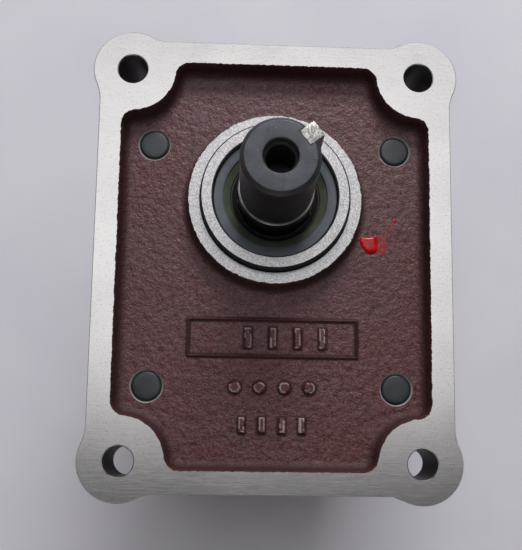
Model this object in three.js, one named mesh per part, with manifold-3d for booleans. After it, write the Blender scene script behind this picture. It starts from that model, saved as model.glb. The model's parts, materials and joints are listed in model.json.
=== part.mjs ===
// Right angle bevel gearbox. Units are millimetres and +Z is up.
// The gearbox stands on its rear cover. The input shaft's axis is the Z axis, and the origin is where
// that axis meets the flat rear face. The output shaft lies along Y and leaves the case towards +Y.

import * as THREE from 'three';
import { mergeVertices } from 'three/addons/utils/BufferGeometryUtils.js';
import Module from 'manifold-3d';

const wasm = await Module();
wasm.setup();

// Driving dimensions -----------------------------------------------------------------------------

const rimZ = 150;                  // rear face to the machined rim of the front housing
const crossZ = 52;                 // rear face to the output shaft's axis
const patternY = -26;              // centre of the bolt patterns, below the input axis
const fit = 0.15;                  // radial gap between pieces that fit in or on each other
const seat = 0.1;                  // gap between faces that rest on each other
const running = 0.3;               // least gap between pieces that move past each other

// Sides of the rounds, by how much their roundness matters.
const fine = 30;
const hubSides = 24;
const plain = 20;
const innerSides = 18;
const holeSides = 16;
const small = 12;
const threadSides = 8;

const flange = {
  thickness: 28, halfWidth: 72, halfHeight: 92,
  holeX: 59, holeY: 79.5, holeRadius: 6,
  earRadius: 16, sideBlend: 18, endBlend: 12,
};
const recess = { depth: 7.5, halfWidth: 63, halfHeight: 83, islandRadius: 17.5, corner: 6 };
const boss = { radius: 35, spigotRadius: 30, spigotHeight: 5, chamfer: 1.2 };
const bearingHub = { radius: 32, length: 21 };
const castBackDepth = 10;          // hollow in the back of the front housing, round the bearing hub
const castMark = {
  height: 1.2, sunk: 1, line: 1.6, frameHalfWidth: 34, frameHalfHeight: 7.5, frameY: -56,
  barWidth: 2.4, barLength: 8, pipRadius: 2.6, pipY: -76, lowBarWidth: 7, lowBarY: -92,
};

// Screws and plugs. A threaded hole and the thread in it are both plain rounds, a fit apart.
const housingScrew = {
  spacing: 50, radius: 6, acrossFlats: 18, headHeight: 7.5, flange: 16,
  chamfer: 0.9, tipChamfer: 0.8, standOut: 0.3, clearance: 0.5,
};
const coverScrew = {
  radius: 3, headRadius: 6, rim: 0.4, sunk: 0.4, length: 20, clearance: 0.4, headClearance: 0.6,
  socket: 4, socketDepth: 3, threadDepth: 22,
};
const capScrew = {
  circle: 35.7, radius: 2.5, headRadius: 4.25, headHeight: 5, length: 20, socket: 4, socketFloor: 2.5,
  clearance: 0.4, threadDepth: 19,
};

// The gear case is a box with its corners cut off: outer half width, ends, and cut-off lines.
const gearCase = { halfWidth: 54, top: 42, bottom: -80, topCut: 58, bottomCut: 107, wall: 7.5, flange: 12 };
const jointPlate = { halfWidth: 62, top: 48, bottom: -88, corner: 12 };
const flangeOutset = 6;            // how far the rear joint stands out from the gear case
const outputHub = {
  radius: 41, driveEnd: 66, blindEnd: -88, shoulder: 26, innerBoss: 12.5, innerBossStep: 3,
};
const gasketThickness = 0.8;
const coverThickness = 10;

const keySize = 6.35;              // quarter inch square keys on both shaft ends
const shaftEnd = { radius: 14.2875, length: 34.9, chamfer: 1.55 };
const inputTip = rimZ + 48.3;
const sealJournal = 15.08;         // radius under the input seal
const centreHole = { radius: 6.25, step: 1, depth: 24, drillPoint: 3, mouth: 3, mouthSlope: 1 };

const smallBearing = { bore: 12.5, outside: 26, width: 15, balls: 7 };
const largeBearing = { bore: 15, outside: 31, width: 16, balls: 7 };
const inputSealSize = { outside: 25, width: 8 };
const outputSealSize = { outside: 31, width: 7 };
const sealRib = { radius: 22, width: 2 };   // rib of the front housing between the seal and the bearing
const sealDepth = 2.5;                      // input seal's face below the spigot's top
const outputJournal = 15;                   // radius under the output seal

// Retaining rings and the grooves that hold them: radii, thickness, and the groove's own size.
const inputBoreRing = { inner: 21.5, outer: 27.2, thickness: 1.4, grooveDepth: 1.4, grooveWidth: 1.8 };
const outputBoreRing = { inner: 26.5, outer: 32.2, thickness: 1.8, grooveDepth: 1.5, grooveWidth: 2.2 };
const pinionRing = { inner: 9.1, outer: 12, thickness: 1.2, grooveDepth: 1, grooveWidth: 1.5 };
const outputShaftRing = { inner: 14.1, outer: 17.5, thickness: 1.4, grooveDepth: 1, grooveWidth: 1.6 };
const ringGap = 5;                          // opening in every retaining ring
const inputSpacer = { outerBore: 23, innerOutside: 15.5, width: 7 };
const crownSpacerOutside = 19;

const gears = { module: 3.5, pinionTeeth: 14, crownTeeth: 21, faceWidth: 13, backlash: 0.25 };
const pinionBody = { bore: 10, back: 20, backLength: 2, hub: 16, hubStep: 1, toe: 13.5 };
const crownBody = { bore: 15, back: 33, backLength: 8, chamfer: 2, hub: 24, toe: 23 };
const middleShaft = 18;            // radius of the output shaft between gear and drive bearing

// Heights of the input stack, from the spigot down.
const spigotTopZ = rimZ + boss.spigotHeight;
const recessFloorZ = rimZ - recess.depth;
const jointZ = rimZ - flange.thickness;
const sealFaceZ = spigotTopZ - sealDepth;
const sealSeatZ = sealFaceZ - inputSealSize.width - seat;
const frontBearingZ = sealSeatZ - sealRib.width - seat - smallBearing.width;
const rearBearingZ = frontBearingZ - inputSpacer.width - smallBearing.width;
const inputGrooveZ = rearBearingZ - 2.4;
const hubEndZ = jointZ - bearingHub.length;
const caseTopZ = jointZ - gasketThickness - 2 * seat;
const caseBottomZ = coverThickness + gasketThickness + 2 * seat;

// Places along the output shaft.
const driveBearingY = 40;
const outputGrooveY = driveBearingY + largeBearing.width + 0.4;
const blindBearingY = -78;
const gearShoulderY = -19.4;
const gearHubY = -46;
const gearKeyY = -44;
const shaftBlindY = -83;
const outputTip = 108;
const endCapShape = { thickness: 8, register: 30.7, registerBore: 26.5, hollow: 2, chamfer: 1 };

const colours = {
  primer: { color: 0x553c3e, roughness: 0.6, metalness: 0.1 },
  machined: { color: 0xa9a8ac, roughness: 0.4, metalness: 0.8 },
  blackened: { color: 0x2c2e31, roughness: 0.4, metalness: 0.7 },
  bright: { color: 0xb9b7b2, roughness: 0.3, metalness: 0.9 },
  sealBlue: { color: 0x4b525a, roughness: 0.5, metalness: 0 },
  gasket: { color: 0x3a3f38, roughness: 0.9, metalness: 0 },
  zinc: { color: 0x9c9c98, roughness: 0.4, metalness: 0.8 },
  copper: { color: 0xa86a42, roughness: 0.4, metalness: 0.9 },
  gearSteel: { color: 0x77787b, roughness: 0.35, metalness: 0.9 },
};

// Solids -----------------------------------------------------------------------------------------

// Six times the volume inside a triangle mesh: positive when its faces point outwards.
function signedVolume(position, index) {
  let volume = 0;
  const [a, b, c] = [new THREE.Vector3(), new THREE.Vector3(), new THREE.Vector3()];
  for (let i = 0; i < index.length; i += 3) {
    a.fromBufferAttribute(position, index[i]);
    b.fromBufferAttribute(position, index[i + 1]);
    c.fromBufferAttribute(position, index[i + 2]);
    volume += a.dot(b.cross(c));
  }
  return volume;
}

// A three.js geometry with its shared corners merged, as a solid that can be cut and joined.
function solid(geometry) {
  const bare = geometry.clone();
  bare.deleteAttribute('normal');
  bare.deleteAttribute('uv');
  const merged = mergeVertices(bare, 1e-4);
  const corners = merged.getIndex().array;
  const kept = [];
  for (let i = 0; i < corners.length; i += 3) {
    const [a, b, c] = corners.slice(i, i + 3);
    if (a !== b && b !== c && c !== a) kept.push(a, b, c);
  }
  if (signedVolume(merged.getAttribute('position'), kept) < 0) kept.reverse();
  return new wasm.Manifold(new wasm.Mesh({
    numProp: 3,
    vertProperties: new Float32Array(merged.getAttribute('position').array),
    triVerts: new Uint32Array(kept),
  }));
}

function geometryOf(body) {
  const mesh = body.getMesh();
  const geometry = new THREE.BufferGeometry();
  geometry.setAttribute('position', new THREE.BufferAttribute(new Float32Array(mesh.vertProperties), 3));
  geometry.setIndex(new THREE.BufferAttribute(new Uint32Array(mesh.triVerts), 1));
  geometry.computeVertexNormals();
  return geometry;
}

function join(first, ...others) {
  return geometryOf(others.reduce((sum, other) => sum.add(solid(other)), solid(first)));
}

function cut(first, ...others) {
  return geometryOf(others.reduce((rest, other) => rest.subtract(solid(other)), solid(first)));
}

// A body of revolution about Z, from [radius, height] pairs. The profile starts and ends on the axis,
// or is a closed ring section.
function turned(profile, segments = plain) {
  const points = profile.map(([radius, height]) => new THREE.Vector2(radius, height));
  const closed = profile[0][0] > 0;
  if (closed) points.push(points[0].clone());
  return new THREE.LatheGeometry(points, segments).rotateX(Math.PI / 2);
}

function rod(radius, from, to, segments = plain) {
  return turned([[0, from], [radius, from], [radius, to], [0, to]], segments);
}

// A rod to cut with: its flats, not its edges, lie at the radius.
function drill(radius, from, to, segments = small) {
  return rod(radius / Math.cos(Math.PI / segments), from, to, segments);
}

function tube(inner, outer, from, to, segments = plain) {
  const bore = inner / Math.cos(Math.PI / segments);
  return turned([[bore, from], [outer, from], [outer, to], [bore, to]], segments);
}

function hexagon(acrossFlats, from, to) {
  const radius = acrossFlats / Math.sqrt(3);
  const prism = new THREE.CylinderGeometry(radius, radius, to - from, 6);
  return prism.rotateX(Math.PI / 2).translate(0, 0, (from + to) / 2);
}

function block(width, depth, height, x, y, z) {
  return new THREE.BoxGeometry(width, depth, height).translate(x, y, z);
}

// A flat plate from a closed outline of [x, y] points.
function plate(outline, from, to) {
  const shape = new THREE.Shape(outline.map(([x, y]) => new THREE.Vector2(x, y)));
  const flat = new THREE.ExtrudeGeometry(shape, { depth: to - from, bevelEnabled: false });
  return flat.translate(0, 0, from);
}

function moved(body, x, y, z) {
  return body.clone().translate(x, y, z);
}

// A body drawn about Z, laid along Y at the height of the output shaft: its +Z becomes +Y.
function alongY(body) {
  return body.clone().rotateX(-Math.PI / 2).translate(0, 0, crossZ);
}

// Outlines ---------------------------------------------------------------------------------------

function arc(x, y, radius, from, to, steps) {
  const points = [];
  for (let i = 0; i <= steps; i += 1) {
    const angle = from + (to - from) * i / steps;
    points.push([x + radius * Math.cos(angle), y + radius * Math.sin(angle)]);
  }
  return points;
}

// Arcs that follow each other share their end points, so the second copy is left out.
function chain(...arcs) {
  return arcs.flatMap((points, i) => (i === 0 ? points : points.slice(1)));
}

// Mirrors the corner in the +X +Y quarter into the other three, and moves it to the bolt pattern.
function fourCorners(corner) {
  const turnedCorner = (sx, sy) => corner.map(([x, y]) => [sx * x, sy * y]);
  return [
    ...turnedCorner(1, 1),
    ...turnedCorner(-1, 1).reverse(),
    ...turnedCorner(-1, -1),
    ...turnedCorner(1, -1).reverse(),
  ].map(([x, y]) => [x, y + patternY]);
}

// The rim's outer corner: a round ear about the bolt hole, with a hollow blend to each straight edge.
function earOutline() {
  const { halfWidth, halfHeight, holeX, holeY, earRadius, sideBlend, endBlend } = flange;
  const sideX = halfWidth + sideBlend;
  const sideY = holeY - Math.sqrt((earRadius + sideBlend) ** 2 - (sideX - holeX) ** 2);
  const endY = halfHeight + endBlend;
  const endX = holeX - Math.sqrt((earRadius + endBlend) ** 2 - (endY - holeY) ** 2);
  const sideAngle = Math.atan2(holeY - sideY, holeX - sideX);
  const endAngle = Math.atan2(endY - holeY, endX - holeX);
  return fourCorners(chain(
    arc(sideX, sideY, sideBlend, Math.PI, sideAngle, 2),
    arc(holeX, holeY, earRadius, sideAngle - Math.PI, endAngle, 7),
    arc(endX, endY, endBlend, endAngle - Math.PI, -Math.PI / 2, 2),
  ));
}

// The recess inside the rim: a round island about each bolt hole, with rounded corners beside it.
function recessOutline() {
  const { halfWidth, halfHeight, islandRadius, corner } = recess;
  const { holeX, holeY } = flange;
  const reach = islandRadius + corner;
  const sideX = halfWidth - corner;
  const sideY = holeY - Math.sqrt(reach ** 2 - (sideX - holeX) ** 2);
  const endY = halfHeight - corner;
  const endX = holeX - Math.sqrt(reach ** 2 - (endY - holeY) ** 2);
  const sideAngle = Math.atan2(holeY - sideY, holeX - sideX);
  const endAngle = Math.atan2(endY - holeY, endX - holeX);
  return fourCorners(chain(
    arc(sideX, sideY, corner, 0, sideAngle, 3),
    arc(holeX, holeY, islandRadius, sideAngle + Math.PI, endAngle + 2 * Math.PI, 4),
    arc(endX, endY, corner, endAngle + Math.PI, Math.PI / 2, 3),
  ));
}

// The gear case's outline, moved inwards by inset, or outwards when it is negative.
function caseOutline(inset) {
  const side = gearCase.halfWidth - inset;
  const top = gearCase.top - inset;
  const bottom = gearCase.bottom + inset;
  const topCut = gearCase.topCut - inset * Math.SQRT2;
  const bottomCut = gearCase.bottomCut - inset * Math.SQRT2;
  const right = [
    [bottomCut + bottom, bottom],
    [side, side - bottomCut],
    [side, topCut - side],
    [topCut - top, top],
  ];
  const left = right.map(([x, y]) => [-x, y]).reverse();
  return [...right, ...left];
}

function roundedRectangle(halfWidth, bottom, top, corner) {
  const right = halfWidth - corner;
  const turn = Math.PI / 2;
  return chain(
    arc(right, bottom + corner, corner, -turn, 0, 3),
    arc(right, top - corner, corner, 0, turn, 3),
    arc(-right, top - corner, corner, turn, 2 * turn, 3),
    arc(-right, bottom + corner, corner, 2 * turn, 3 * turn, 3),
  );
}

// The joint between the front housing and the gear case.
function jointOutline() {
  const { halfWidth, bottom, top, corner } = jointPlate;
  return roundedRectangle(halfWidth, bottom, top, corner);
}

// Places of repeated pieces ----------------------------------------------------------------------

const corners = [[-1, 1], [1, 1], [1, -1], [-1, -1]];
const flangeHoles = corners.map(([sx, sy]) => [sx * flange.holeX, patternY + sy * flange.holeY]);
const screwPlaces = corners.map(([sx, sy]) => [
  sx * housingScrew.spacing,
  patternY + sy * housingScrew.spacing,
]);
const coverScrewPlaces = [[52.8, -26], [39.9, -65.4], [34.9, 21.4]].flatMap(([x, y]) => [[x, y], [-x, y]]);
const capScrewAngles = [45, 135, 225, 315].map(THREE.MathUtils.degToRad);
const endCapFaceY = outputHub.blindEnd - gasketThickness - 2 * seat;   // joint face of the end cap
const endCapOutsideY = endCapFaceY - endCapShape.thickness;
const pastCap = 20;                // longer than the end cap is thick

// Housings ---------------------------------------------------------------------------------------

// Plain raised bars and pips where a foundry puts its pattern marks, and a raised frame round one row.
function castingMarks() {
  const { height, sunk, line, frameHalfWidth, frameHalfHeight, frameY } = castMark;
  const { barWidth, barLength, pipRadius, pipY, lowBarWidth, lowBarY } = castMark;
  const z = recessFloorZ + (height - sunk) / 2;
  const bar = (x, y, width, depth) => block(width, depth, height + sunk, x, y, z);
  const pip = (x) => moved(rod(pipRadius, 0, height + sunk, 6), x, pipY, recessFloorZ - sunk);
  return join(
    ...[1, -1].map((side) => bar(0, frameY + side * frameHalfHeight, 2 * frameHalfWidth, line)),
    ...[1, -1].map((side) => bar(side * frameHalfWidth, frameY, line, 2 * frameHalfHeight + line)),
    ...[-10, 0, 10, 20].map((x) => bar(x, frameY, barWidth, barLength)),
    ...[-13, -4, 5, 14].map(pip),
    ...[-12, 0, 12].map((x) => bar(x, lowBarY, lowBarWidth, barWidth)),
  );
}

function frontHousing() {
  const plateBody = plate(earOutline(), jointZ, rimZ);
  const pocket = cut(plate(recessOutline(), recessFloorZ, rimZ + 1), rod(boss.radius, 0, rimZ + 2, fine));
  const { spigotRadius, chamfer } = boss;
  const spigot = turned([
    [0, rimZ - 1], [spigotRadius, rimZ - 1], [spigotRadius, spigotTopZ - chamfer],
    [spigotRadius - chamfer, spigotTopZ], [0, spigotTopZ],
  ], fine);
  const hub = rod(bearingHub.radius, hubEndZ, jointZ + bearingHub.length / 2);
  const castBack = plate(caseOutline(gearCase.wall), jointZ - 1, jointZ + castBackDepth);
  const body = cut(join(cut(plateBody, pocket), spigot, castingMarks()), castBack);
  const holes = flangeHoles.map(([x, y]) => moved(
    drill(flange.holeRadius, jointZ - 1, rimZ + 1, holeSides),
    x, y, 0,
  ));
  return cut(join(body, hub), inputBore(), ...holes, ...screwPlaces.map(tappedHole));
}

// Bore for the seal and the two bearings, with the groove for the retaining ring.
function inputBore() {
  const bearing = smallBearing.outside + fit;
  const seal = inputSealSize.outside + fit;
  const stop = frontBearingZ + smallBearing.width + seat;
  const ring = bearing + inputBoreRing.grooveDepth;
  const grooveEnd = inputGrooveZ + inputBoreRing.grooveWidth;
  return turned([
    [0, hubEndZ - 1], [bearing, hubEndZ - 1], [bearing, inputGrooveZ], [ring, inputGrooveZ],
    [ring, grooveEnd], [bearing, grooveEnd], [bearing, stop], [sealRib.radius, stop],
    [sealRib.radius, sealSeatZ], [seal, sealSeatZ], [seal, spigotTopZ + 1], [0, spigotTopZ + 1],
  ], fine);
}

// A threaded hole right through, with a chamfer where the screw's end shows.
function tappedHole([x, y]) {
  const radius = housingScrew.radius + fit;
  const mouth = radius + housingScrew.chamfer;
  return moved(turned([
    [0, jointZ - 1], [radius, jointZ - 1], [radius, recessFloorZ - housingScrew.chamfer],
    [mouth, recessFloorZ], [mouth, recessFloorZ + 1], [0, recessFloorZ + 1],
  ], holeSides), x, y, 0);
}

// A clearance hole for a housing screw, through the joint plate.
function screwClearance([x, y]) {
  const belowPlate = caseTopZ - housingScrew.flange - 1;
  return moved(drill(housingScrew.radius + housingScrew.clearance, belowPlate, rimZ), x, y, 0);
}

function mainHousing() {
  const walls = plate(caseOutline(0), caseBottomZ, caseTopZ);
  const frontJoint = plate(jointOutline(), caseTopZ - housingScrew.flange, caseTopZ);
  const rearJoint = plate(caseOutline(-flangeOutset), caseBottomZ, caseBottomZ + gearCase.flange);
  const { radius, driveEnd, blindEnd, innerBoss, innerBossStep } = outputHub;
  const hubs = join(
    alongY(rod(radius, gearCase.top - gearCase.wall, driveEnd, hubSides)),
    alongY(rod(radius, blindEnd, gearCase.bottom + gearCase.wall, hubSides)),
  );
  const cavity = plate(caseOutline(gearCase.wall), 0, rimZ);
  const shell = cut(join(walls, frontJoint, rearJoint, hubs, ...plugPlaces.map(plugPad)), cavity);
  const bossStart = gearCase.bottom + gearCase.wall;
  const blindBoss = alongY(rod(radius - innerBossStep, bossStart - 1, bossStart + innerBoss));
  return cut(
    join(shell, blindBoss), outputBores(), ...screwPlaces.map(screwClearance),
    ...coverScrewPlaces.map(coverThread), ...capScrewAngles.map(capThread), ...plugPlaces.map(plugHole),
  );
}

// Bores for the output bearings, both open to the outside, with the drive end's retaining groove.
function outputBores() {
  const bearing = largeBearing.outside + fit;
  const ring = bearing + outputBoreRing.grooveDepth;
  const grooveEnd = outputGrooveY + outputBoreRing.grooveWidth;
  const { driveEnd, blindEnd, shoulder } = outputHub;
  const drive = turned([
    [0, 0], [shoulder, 0], [shoulder, driveBearingY - seat], [bearing, driveBearingY - seat],
    [bearing, outputGrooveY], [ring, outputGrooveY], [ring, grooveEnd], [bearing, grooveEnd],
    [bearing, driveEnd + 1], [0, driveEnd + 1],
  ], hubSides);
  const stop = blindBearingY + largeBearing.width + seat;
  const cavityY = gearCase.bottom / 2;
  const blind = turned([
    [0, blindEnd - 1], [bearing, blindEnd - 1], [bearing, stop], [shoulder, stop],
    [shoulder, cavityY], [0, cavityY],
  ], hubSides);
  return join(alongY(drive), alongY(blind));
}

function coverThread([x, y]) {
  return moved(drill(coverScrew.radius + fit, 0, coverScrew.threadDepth, threadSides), x, y, 0);
}

// Moves a body drawn about the output shaft's axis out to one of the end cap's screws.
function ontoCapCircle(body, angle, along) {
  return moved(body, capScrew.circle * Math.cos(angle), capScrew.circle * Math.sin(angle), along);
}

function capThread(angle) {
  const hole = drill(capScrew.radius + fit, 0, capScrew.threadDepth, threadSides);
  return alongY(ontoCapCircle(hole, angle, outputHub.blindEnd - 1));
}

function rearCover() {
  const body = plate(caseOutline(-flangeOutset), 0, coverThickness);
  return cut(body, ...coverScrewPlaces.map(countersink));
}

function countersink([x, y]) {
  const { radius, headRadius, rim, clearance, headClearance } = coverScrew;
  const mouth = headRadius + headClearance;
  const hole = radius + clearance;
  return moved(turned([
    [0, -1], [mouth, -1], [mouth, rim], [hole, rim + mouth - hole],
    [hole, coverThickness + 1], [0, coverThickness + 1],
  ], small), x, y, 0);
}

function rearGasket() {
  const from = coverThickness + seat;
  const ring = cut(
    plate(caseOutline(-flangeOutset), from, from + gasketThickness),
    plate(caseOutline(gearCase.wall), 0, rimZ),
  );
  return cut(ring, ...coverScrewPlaces.map(coverThread));
}

function flangeGasket() {
  const from = caseTopZ + seat;
  const ring = cut(
    plate(jointOutline(), from, from + gasketThickness),
    plate(caseOutline(gearCase.wall), 0, rimZ),
  );
  return cut(ring, ...screwPlaces.map(screwClearance));
}

// Screws and plugs -------------------------------------------------------------------------------

// Hexagon head below the joint plate, thread up through the front housing.
function makeHousingScrew() {
  const { radius, acrossFlats, headHeight, chamfer, tipChamfer, standOut } = housingScrew;
  const headTop = caseTopZ - housingScrew.flange - seat;
  const end = recessFloorZ + standOut;
  const shank = turned([
    [0, headTop - 1], [radius, headTop - 1], [radius, end - tipChamfer], [radius - chamfer, end], [0, end],
  ], holeSides);
  return join(hexagon(acrossFlats, headTop - headHeight, headTop), shank);
}

// Countersunk screw with a hexagon socket, its head just inside the rest face.
function makeCoverScrew() {
  const { radius, headRadius, rim, sunk, length, socket, socketDepth } = coverScrew;
  const body = turned([
    [0, sunk], [headRadius, sunk], [headRadius, sunk + rim], [radius, sunk + rim + headRadius - radius],
    [radius, length], [0, length],
  ], small);
  return cut(body, hexagon(socket, -1, socketDepth));
}

// Cap screw with a hexagon socket, its axis along Z and its seat at height zero.
function makeCapScrew() {
  const { radius, headRadius, headHeight, length, socket, socketFloor } = capScrew;
  const body = turned([
    [0, -length], [radius, -length], [radius, 0], [headRadius, 0], [headRadius, headHeight], [0, headHeight],
  ], small);
  return cut(body, hexagon(socket, socketFloor, headHeight + 1));
}

// Plugs on the flat sides of the gear case: side (+1 or -1), Y and Z of the axis.
const plugPlaces = [
  { name: 'filler_plug', side: 1, y: -26, z: 88 },
  { name: 'level_plug', side: 1, y: -26, z: 52 },
  { name: 'drain_plug', side: -1, y: -26, z: 38 },
];
const plug = {
  radius: 8, pad: 12, padHeight: 2, washer: 1.5, collar: 11, collarHeight: 2,
  acrossFlats: 17, head: 7, length: 11,
};

// Turns a body drawn about Z, with its seat at height zero, onto the side of the gear case.
function ontoSide(body, { side, y, z }) {
  const turnedBody = body.clone().rotateY(side * Math.PI / 2);
  return moved(turnedBody, side * (gearCase.halfWidth + plug.padHeight), y, z);
}

function plugPad(place) {
  return ontoSide(rod(plug.pad, -gearCase.wall, 0, holeSides), place);
}

function plugHole(place) {
  return ontoSide(drill(plug.radius + fit, -2 * plug.length, 1), place);
}

function makePlug() {
  const from = plug.washer + 2 * seat;
  const collar = rod(plug.collar, from, from + plug.collarHeight, innerSides);
  const thread = rod(plug.radius, -plug.length, from + 1, holeSides);
  return join(collar, thread, hexagon(plug.acrossFlats, from + 1, from + plug.head));
}

function makePlugWasher() {
  return tube(plug.radius + fit, plug.collar, seat, seat + plug.washer, holeSides);
}

// Gears ------------------------------------------------------------------------------------------

const pinionConeAngle = Math.atan2(gears.pinionTeeth, gears.crownTeeth);
const crownConeAngle = Math.PI / 2 - pinionConeAngle;
const coneDistance = gears.module * gears.pinionTeeth / 2 / Math.sin(pinionConeAngle);
const pressureAngle = THREE.MathUtils.degToRad(20);
const addendum = 0.95 * gears.module;
const dedendum = 1.25 * gears.module;
const toeScale = 1 - gears.faceWidth / coneDistance;

const involute = (angle) => Math.tan(angle) - angle;

// One flank of a straight bevel tooth on the back cone: height from the pitch line and half angle.
function flank(teeth, coneAngle) {
  const pitchRadius = gears.module * teeth / 2;
  const backRadius = pitchRadius / Math.cos(coneAngle);
  const baseRadius = backRadius * Math.cos(pressureAngle);
  const halfTooth = (Math.PI * gears.module / 2 - gears.backlash) / 2 / backRadius;
  const heights = [-dedendum, 0, addendum];
  return heights.map((height) => {
    const radius = Math.max(backRadius + height, baseRadius);
    const pressure = Math.acos(baseRadius / radius);
    const half = halfTooth + involute(pressureAngle) - involute(pressure);
    return { height, angle: half / Math.cos(coneAngle) };
  });
}

// A bevel gear about Z with its apex at the origin. Every tooth runs straight to the apex, so the small
// end is the large end's outline drawn in towards it. The rings, [radius, height] pairs with a corner
// at each tooth, carry the body on from the large end round the back and through the bore.
function bevelGear(teeth, coneAngle, firstTooth, rings) {
  const side = flank(teeth, coneAngle);
  const outline = [...side.map(({ height, angle }) => ({ height, angle: -angle })), ...[...side].reverse()];
  const middles = Array.from({ length: teeth }, (_, tooth) => firstTooth + 2 * Math.PI * tooth / teeth);
  const point = (radius, angle, z) => [radius * Math.cos(angle), radius * Math.sin(angle), z];
  const heel = middles.flatMap((middle) => outline.map(({ height, angle }) => point(
    coneDistance * Math.sin(coneAngle) + height * Math.cos(coneAngle),
    middle + angle,
    coneDistance * Math.cos(coneAngle) - height * Math.sin(coneAngle),
  )));
  const toe = heel.map((corner) => corner.map((value) => value * toeScale));
  const back = rings.flatMap(([radius, z]) => middles.map((middle) => point(radius, middle, z)));
  const count = heel.length;
  const ringCorner = (ring, tooth) => 2 * count + ring * teeth + tooth % teeth;
  const faces = [];
  for (let i = 0; i < count; i += 1) {
    const next = (i + 1) % count;
    const tooth = Math.floor(i / outline.length);
    const heelHub = ringCorner(0, tooth);
    const toeHub = ringCorner(rings.length - 1, tooth);
    faces.push(i, next, count + next, i, count + next, count + i);
    faces.push(i, heelHub, next, count + i, count + next, toeHub);
  }
  for (let tooth = 0; tooth < teeth; tooth += 1) {
    const next = (tooth + 1) % teeth;
    const root = next * outline.length;
    const last = rings.length - 1;
    faces.push(root, ringCorner(0, tooth), ringCorner(0, next));
    faces.push(count + root, ringCorner(last, next), ringCorner(last, tooth));
    for (let ring = 0; ring < last; ring += 1) {
      const [a, b] = [ringCorner(ring, tooth), ringCorner(ring, next)];
      const [c, d] = [ringCorner(ring + 1, tooth), ringCorner(ring + 1, next)];
      faces.push(a, c, d, a, d, b);
    }
  }
  const geometry = new THREE.BufferGeometry();
  const corners = new Float32Array([...heel, ...toe, ...back].flat());
  geometry.setAttribute('position', new THREE.BufferAttribute(corners, 3));
  geometry.setIndex(faces);
  return geometry;
}

// A keyway along Z, on the +X side of a bore or shaft.
function keyway(width, from, to, inner, outer) {
  return block(outer - inner, width, to - from, (inner + outer) / 2, 0, (from + to) / 2);
}

const innerKey = { width: 6, inner: 6.6, outer: 12.6, length: 18 };
const gearKey = { width: 8, inner: 11, outer: 18, length: 20 };

// Distances of the two gears' root planes from the point where the shafts' axes cross.
const pinionRootZ = coneDistance * Math.cos(pinionConeAngle) + dedendum * Math.sin(pinionConeAngle);
const crownRootZ = coneDistance * Math.cos(crownConeAngle) + dedendum * Math.sin(crownConeAngle);
const pinionHubTop = rearBearingZ - seat - crossZ;

function pinion() {
  const { bore, back, backLength, hub, hubStep, toe } = pinionBody;
  const hole = bore / Math.cos(Math.PI / gears.pinionTeeth);
  const backZ = pinionRootZ + backLength;
  const toeZ = pinionRootZ * toeScale;
  const body = bevelGear(gears.pinionTeeth, pinionConeAngle, -Math.PI / 2, [
    [back, pinionRootZ], [back, backZ], [hub, backZ + hubStep], [hub, pinionHubTop], [hole, pinionHubTop],
    [hole, toeZ], [toe, toeZ],
  ]);
  return cut(body, keyway(innerKey.width + 2 * fit, 0, pinionHubTop + 1, 0, innerKey.outer + fit));
}

function crownGear() {
  const { bore, back, backLength, chamfer, hub, toe } = crownBody;
  const gapAtTop = Math.PI / 2 + Math.PI / gears.crownTeeth;
  const hole = bore / Math.cos(Math.PI / gears.crownTeeth);
  const backZ = crownRootZ + backLength;
  const toeZ = crownRootZ * toeScale;
  const body = bevelGear(gears.crownTeeth, crownConeAngle, gapAtTop, [
    [back, crownRootZ], [back, backZ - chamfer], [back - chamfer, backZ], [hub, backZ], [hub, -gearHubY],
    [hole, -gearHubY], [hole, toeZ], [toe, toeZ],
  ]);
  return cut(body, keyway(gearKey.width + 2 * fit, 0, 1 - gearHubY, 0, gearKey.outer + fit));
}

// Shafts and keys --------------------------------------------------------------------------------

const keyLength = 32;
const keyInner = shaftEnd.radius - 3.85;
const pastShaft = 20;              // a radius outside every shaft, for cuts that run out through its side

// Cuts for a shaft's tip: a drilled hole for a retaining screw, and the slot for the key.
function keyedEndCuts(tip) {
  const { radius, step, depth, drillPoint, mouth, mouthSlope } = centreHole;
  const bore = radius - step;
  const hole = turned([
    [0, tip - depth], [bore, tip - depth + drillPoint], [bore, tip - mouth - mouthSlope],
    [radius, tip - mouth], [radius, tip + 1], [0, tip + 1],
  ], holeSides);
  return [hole, keyway(keySize + 2 * fit, tip - keyLength - fit, tip + 1, keyInner - fit, pastShaft)];
}

// The square key lies in its slot with a little more than half its height sunk in the shaft.
function makeKey(tip) {
  return keyway(keySize, tip - keyLength, tip, keyInner, keyInner + keySize);
}

// The key at the input shaft's end stands this far round from the pinion's key.
const inputKeyAngle = THREE.MathUtils.degToRad(38);
const pinionKeyZ = crossZ + 28.5;
const inputShaftEndZ = crossZ + 22.4;
const pinionGrooveZ = inputShaftEndZ + 1.6;
const outputShaftGrooveY = blindBearingY - 1.9;

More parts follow.
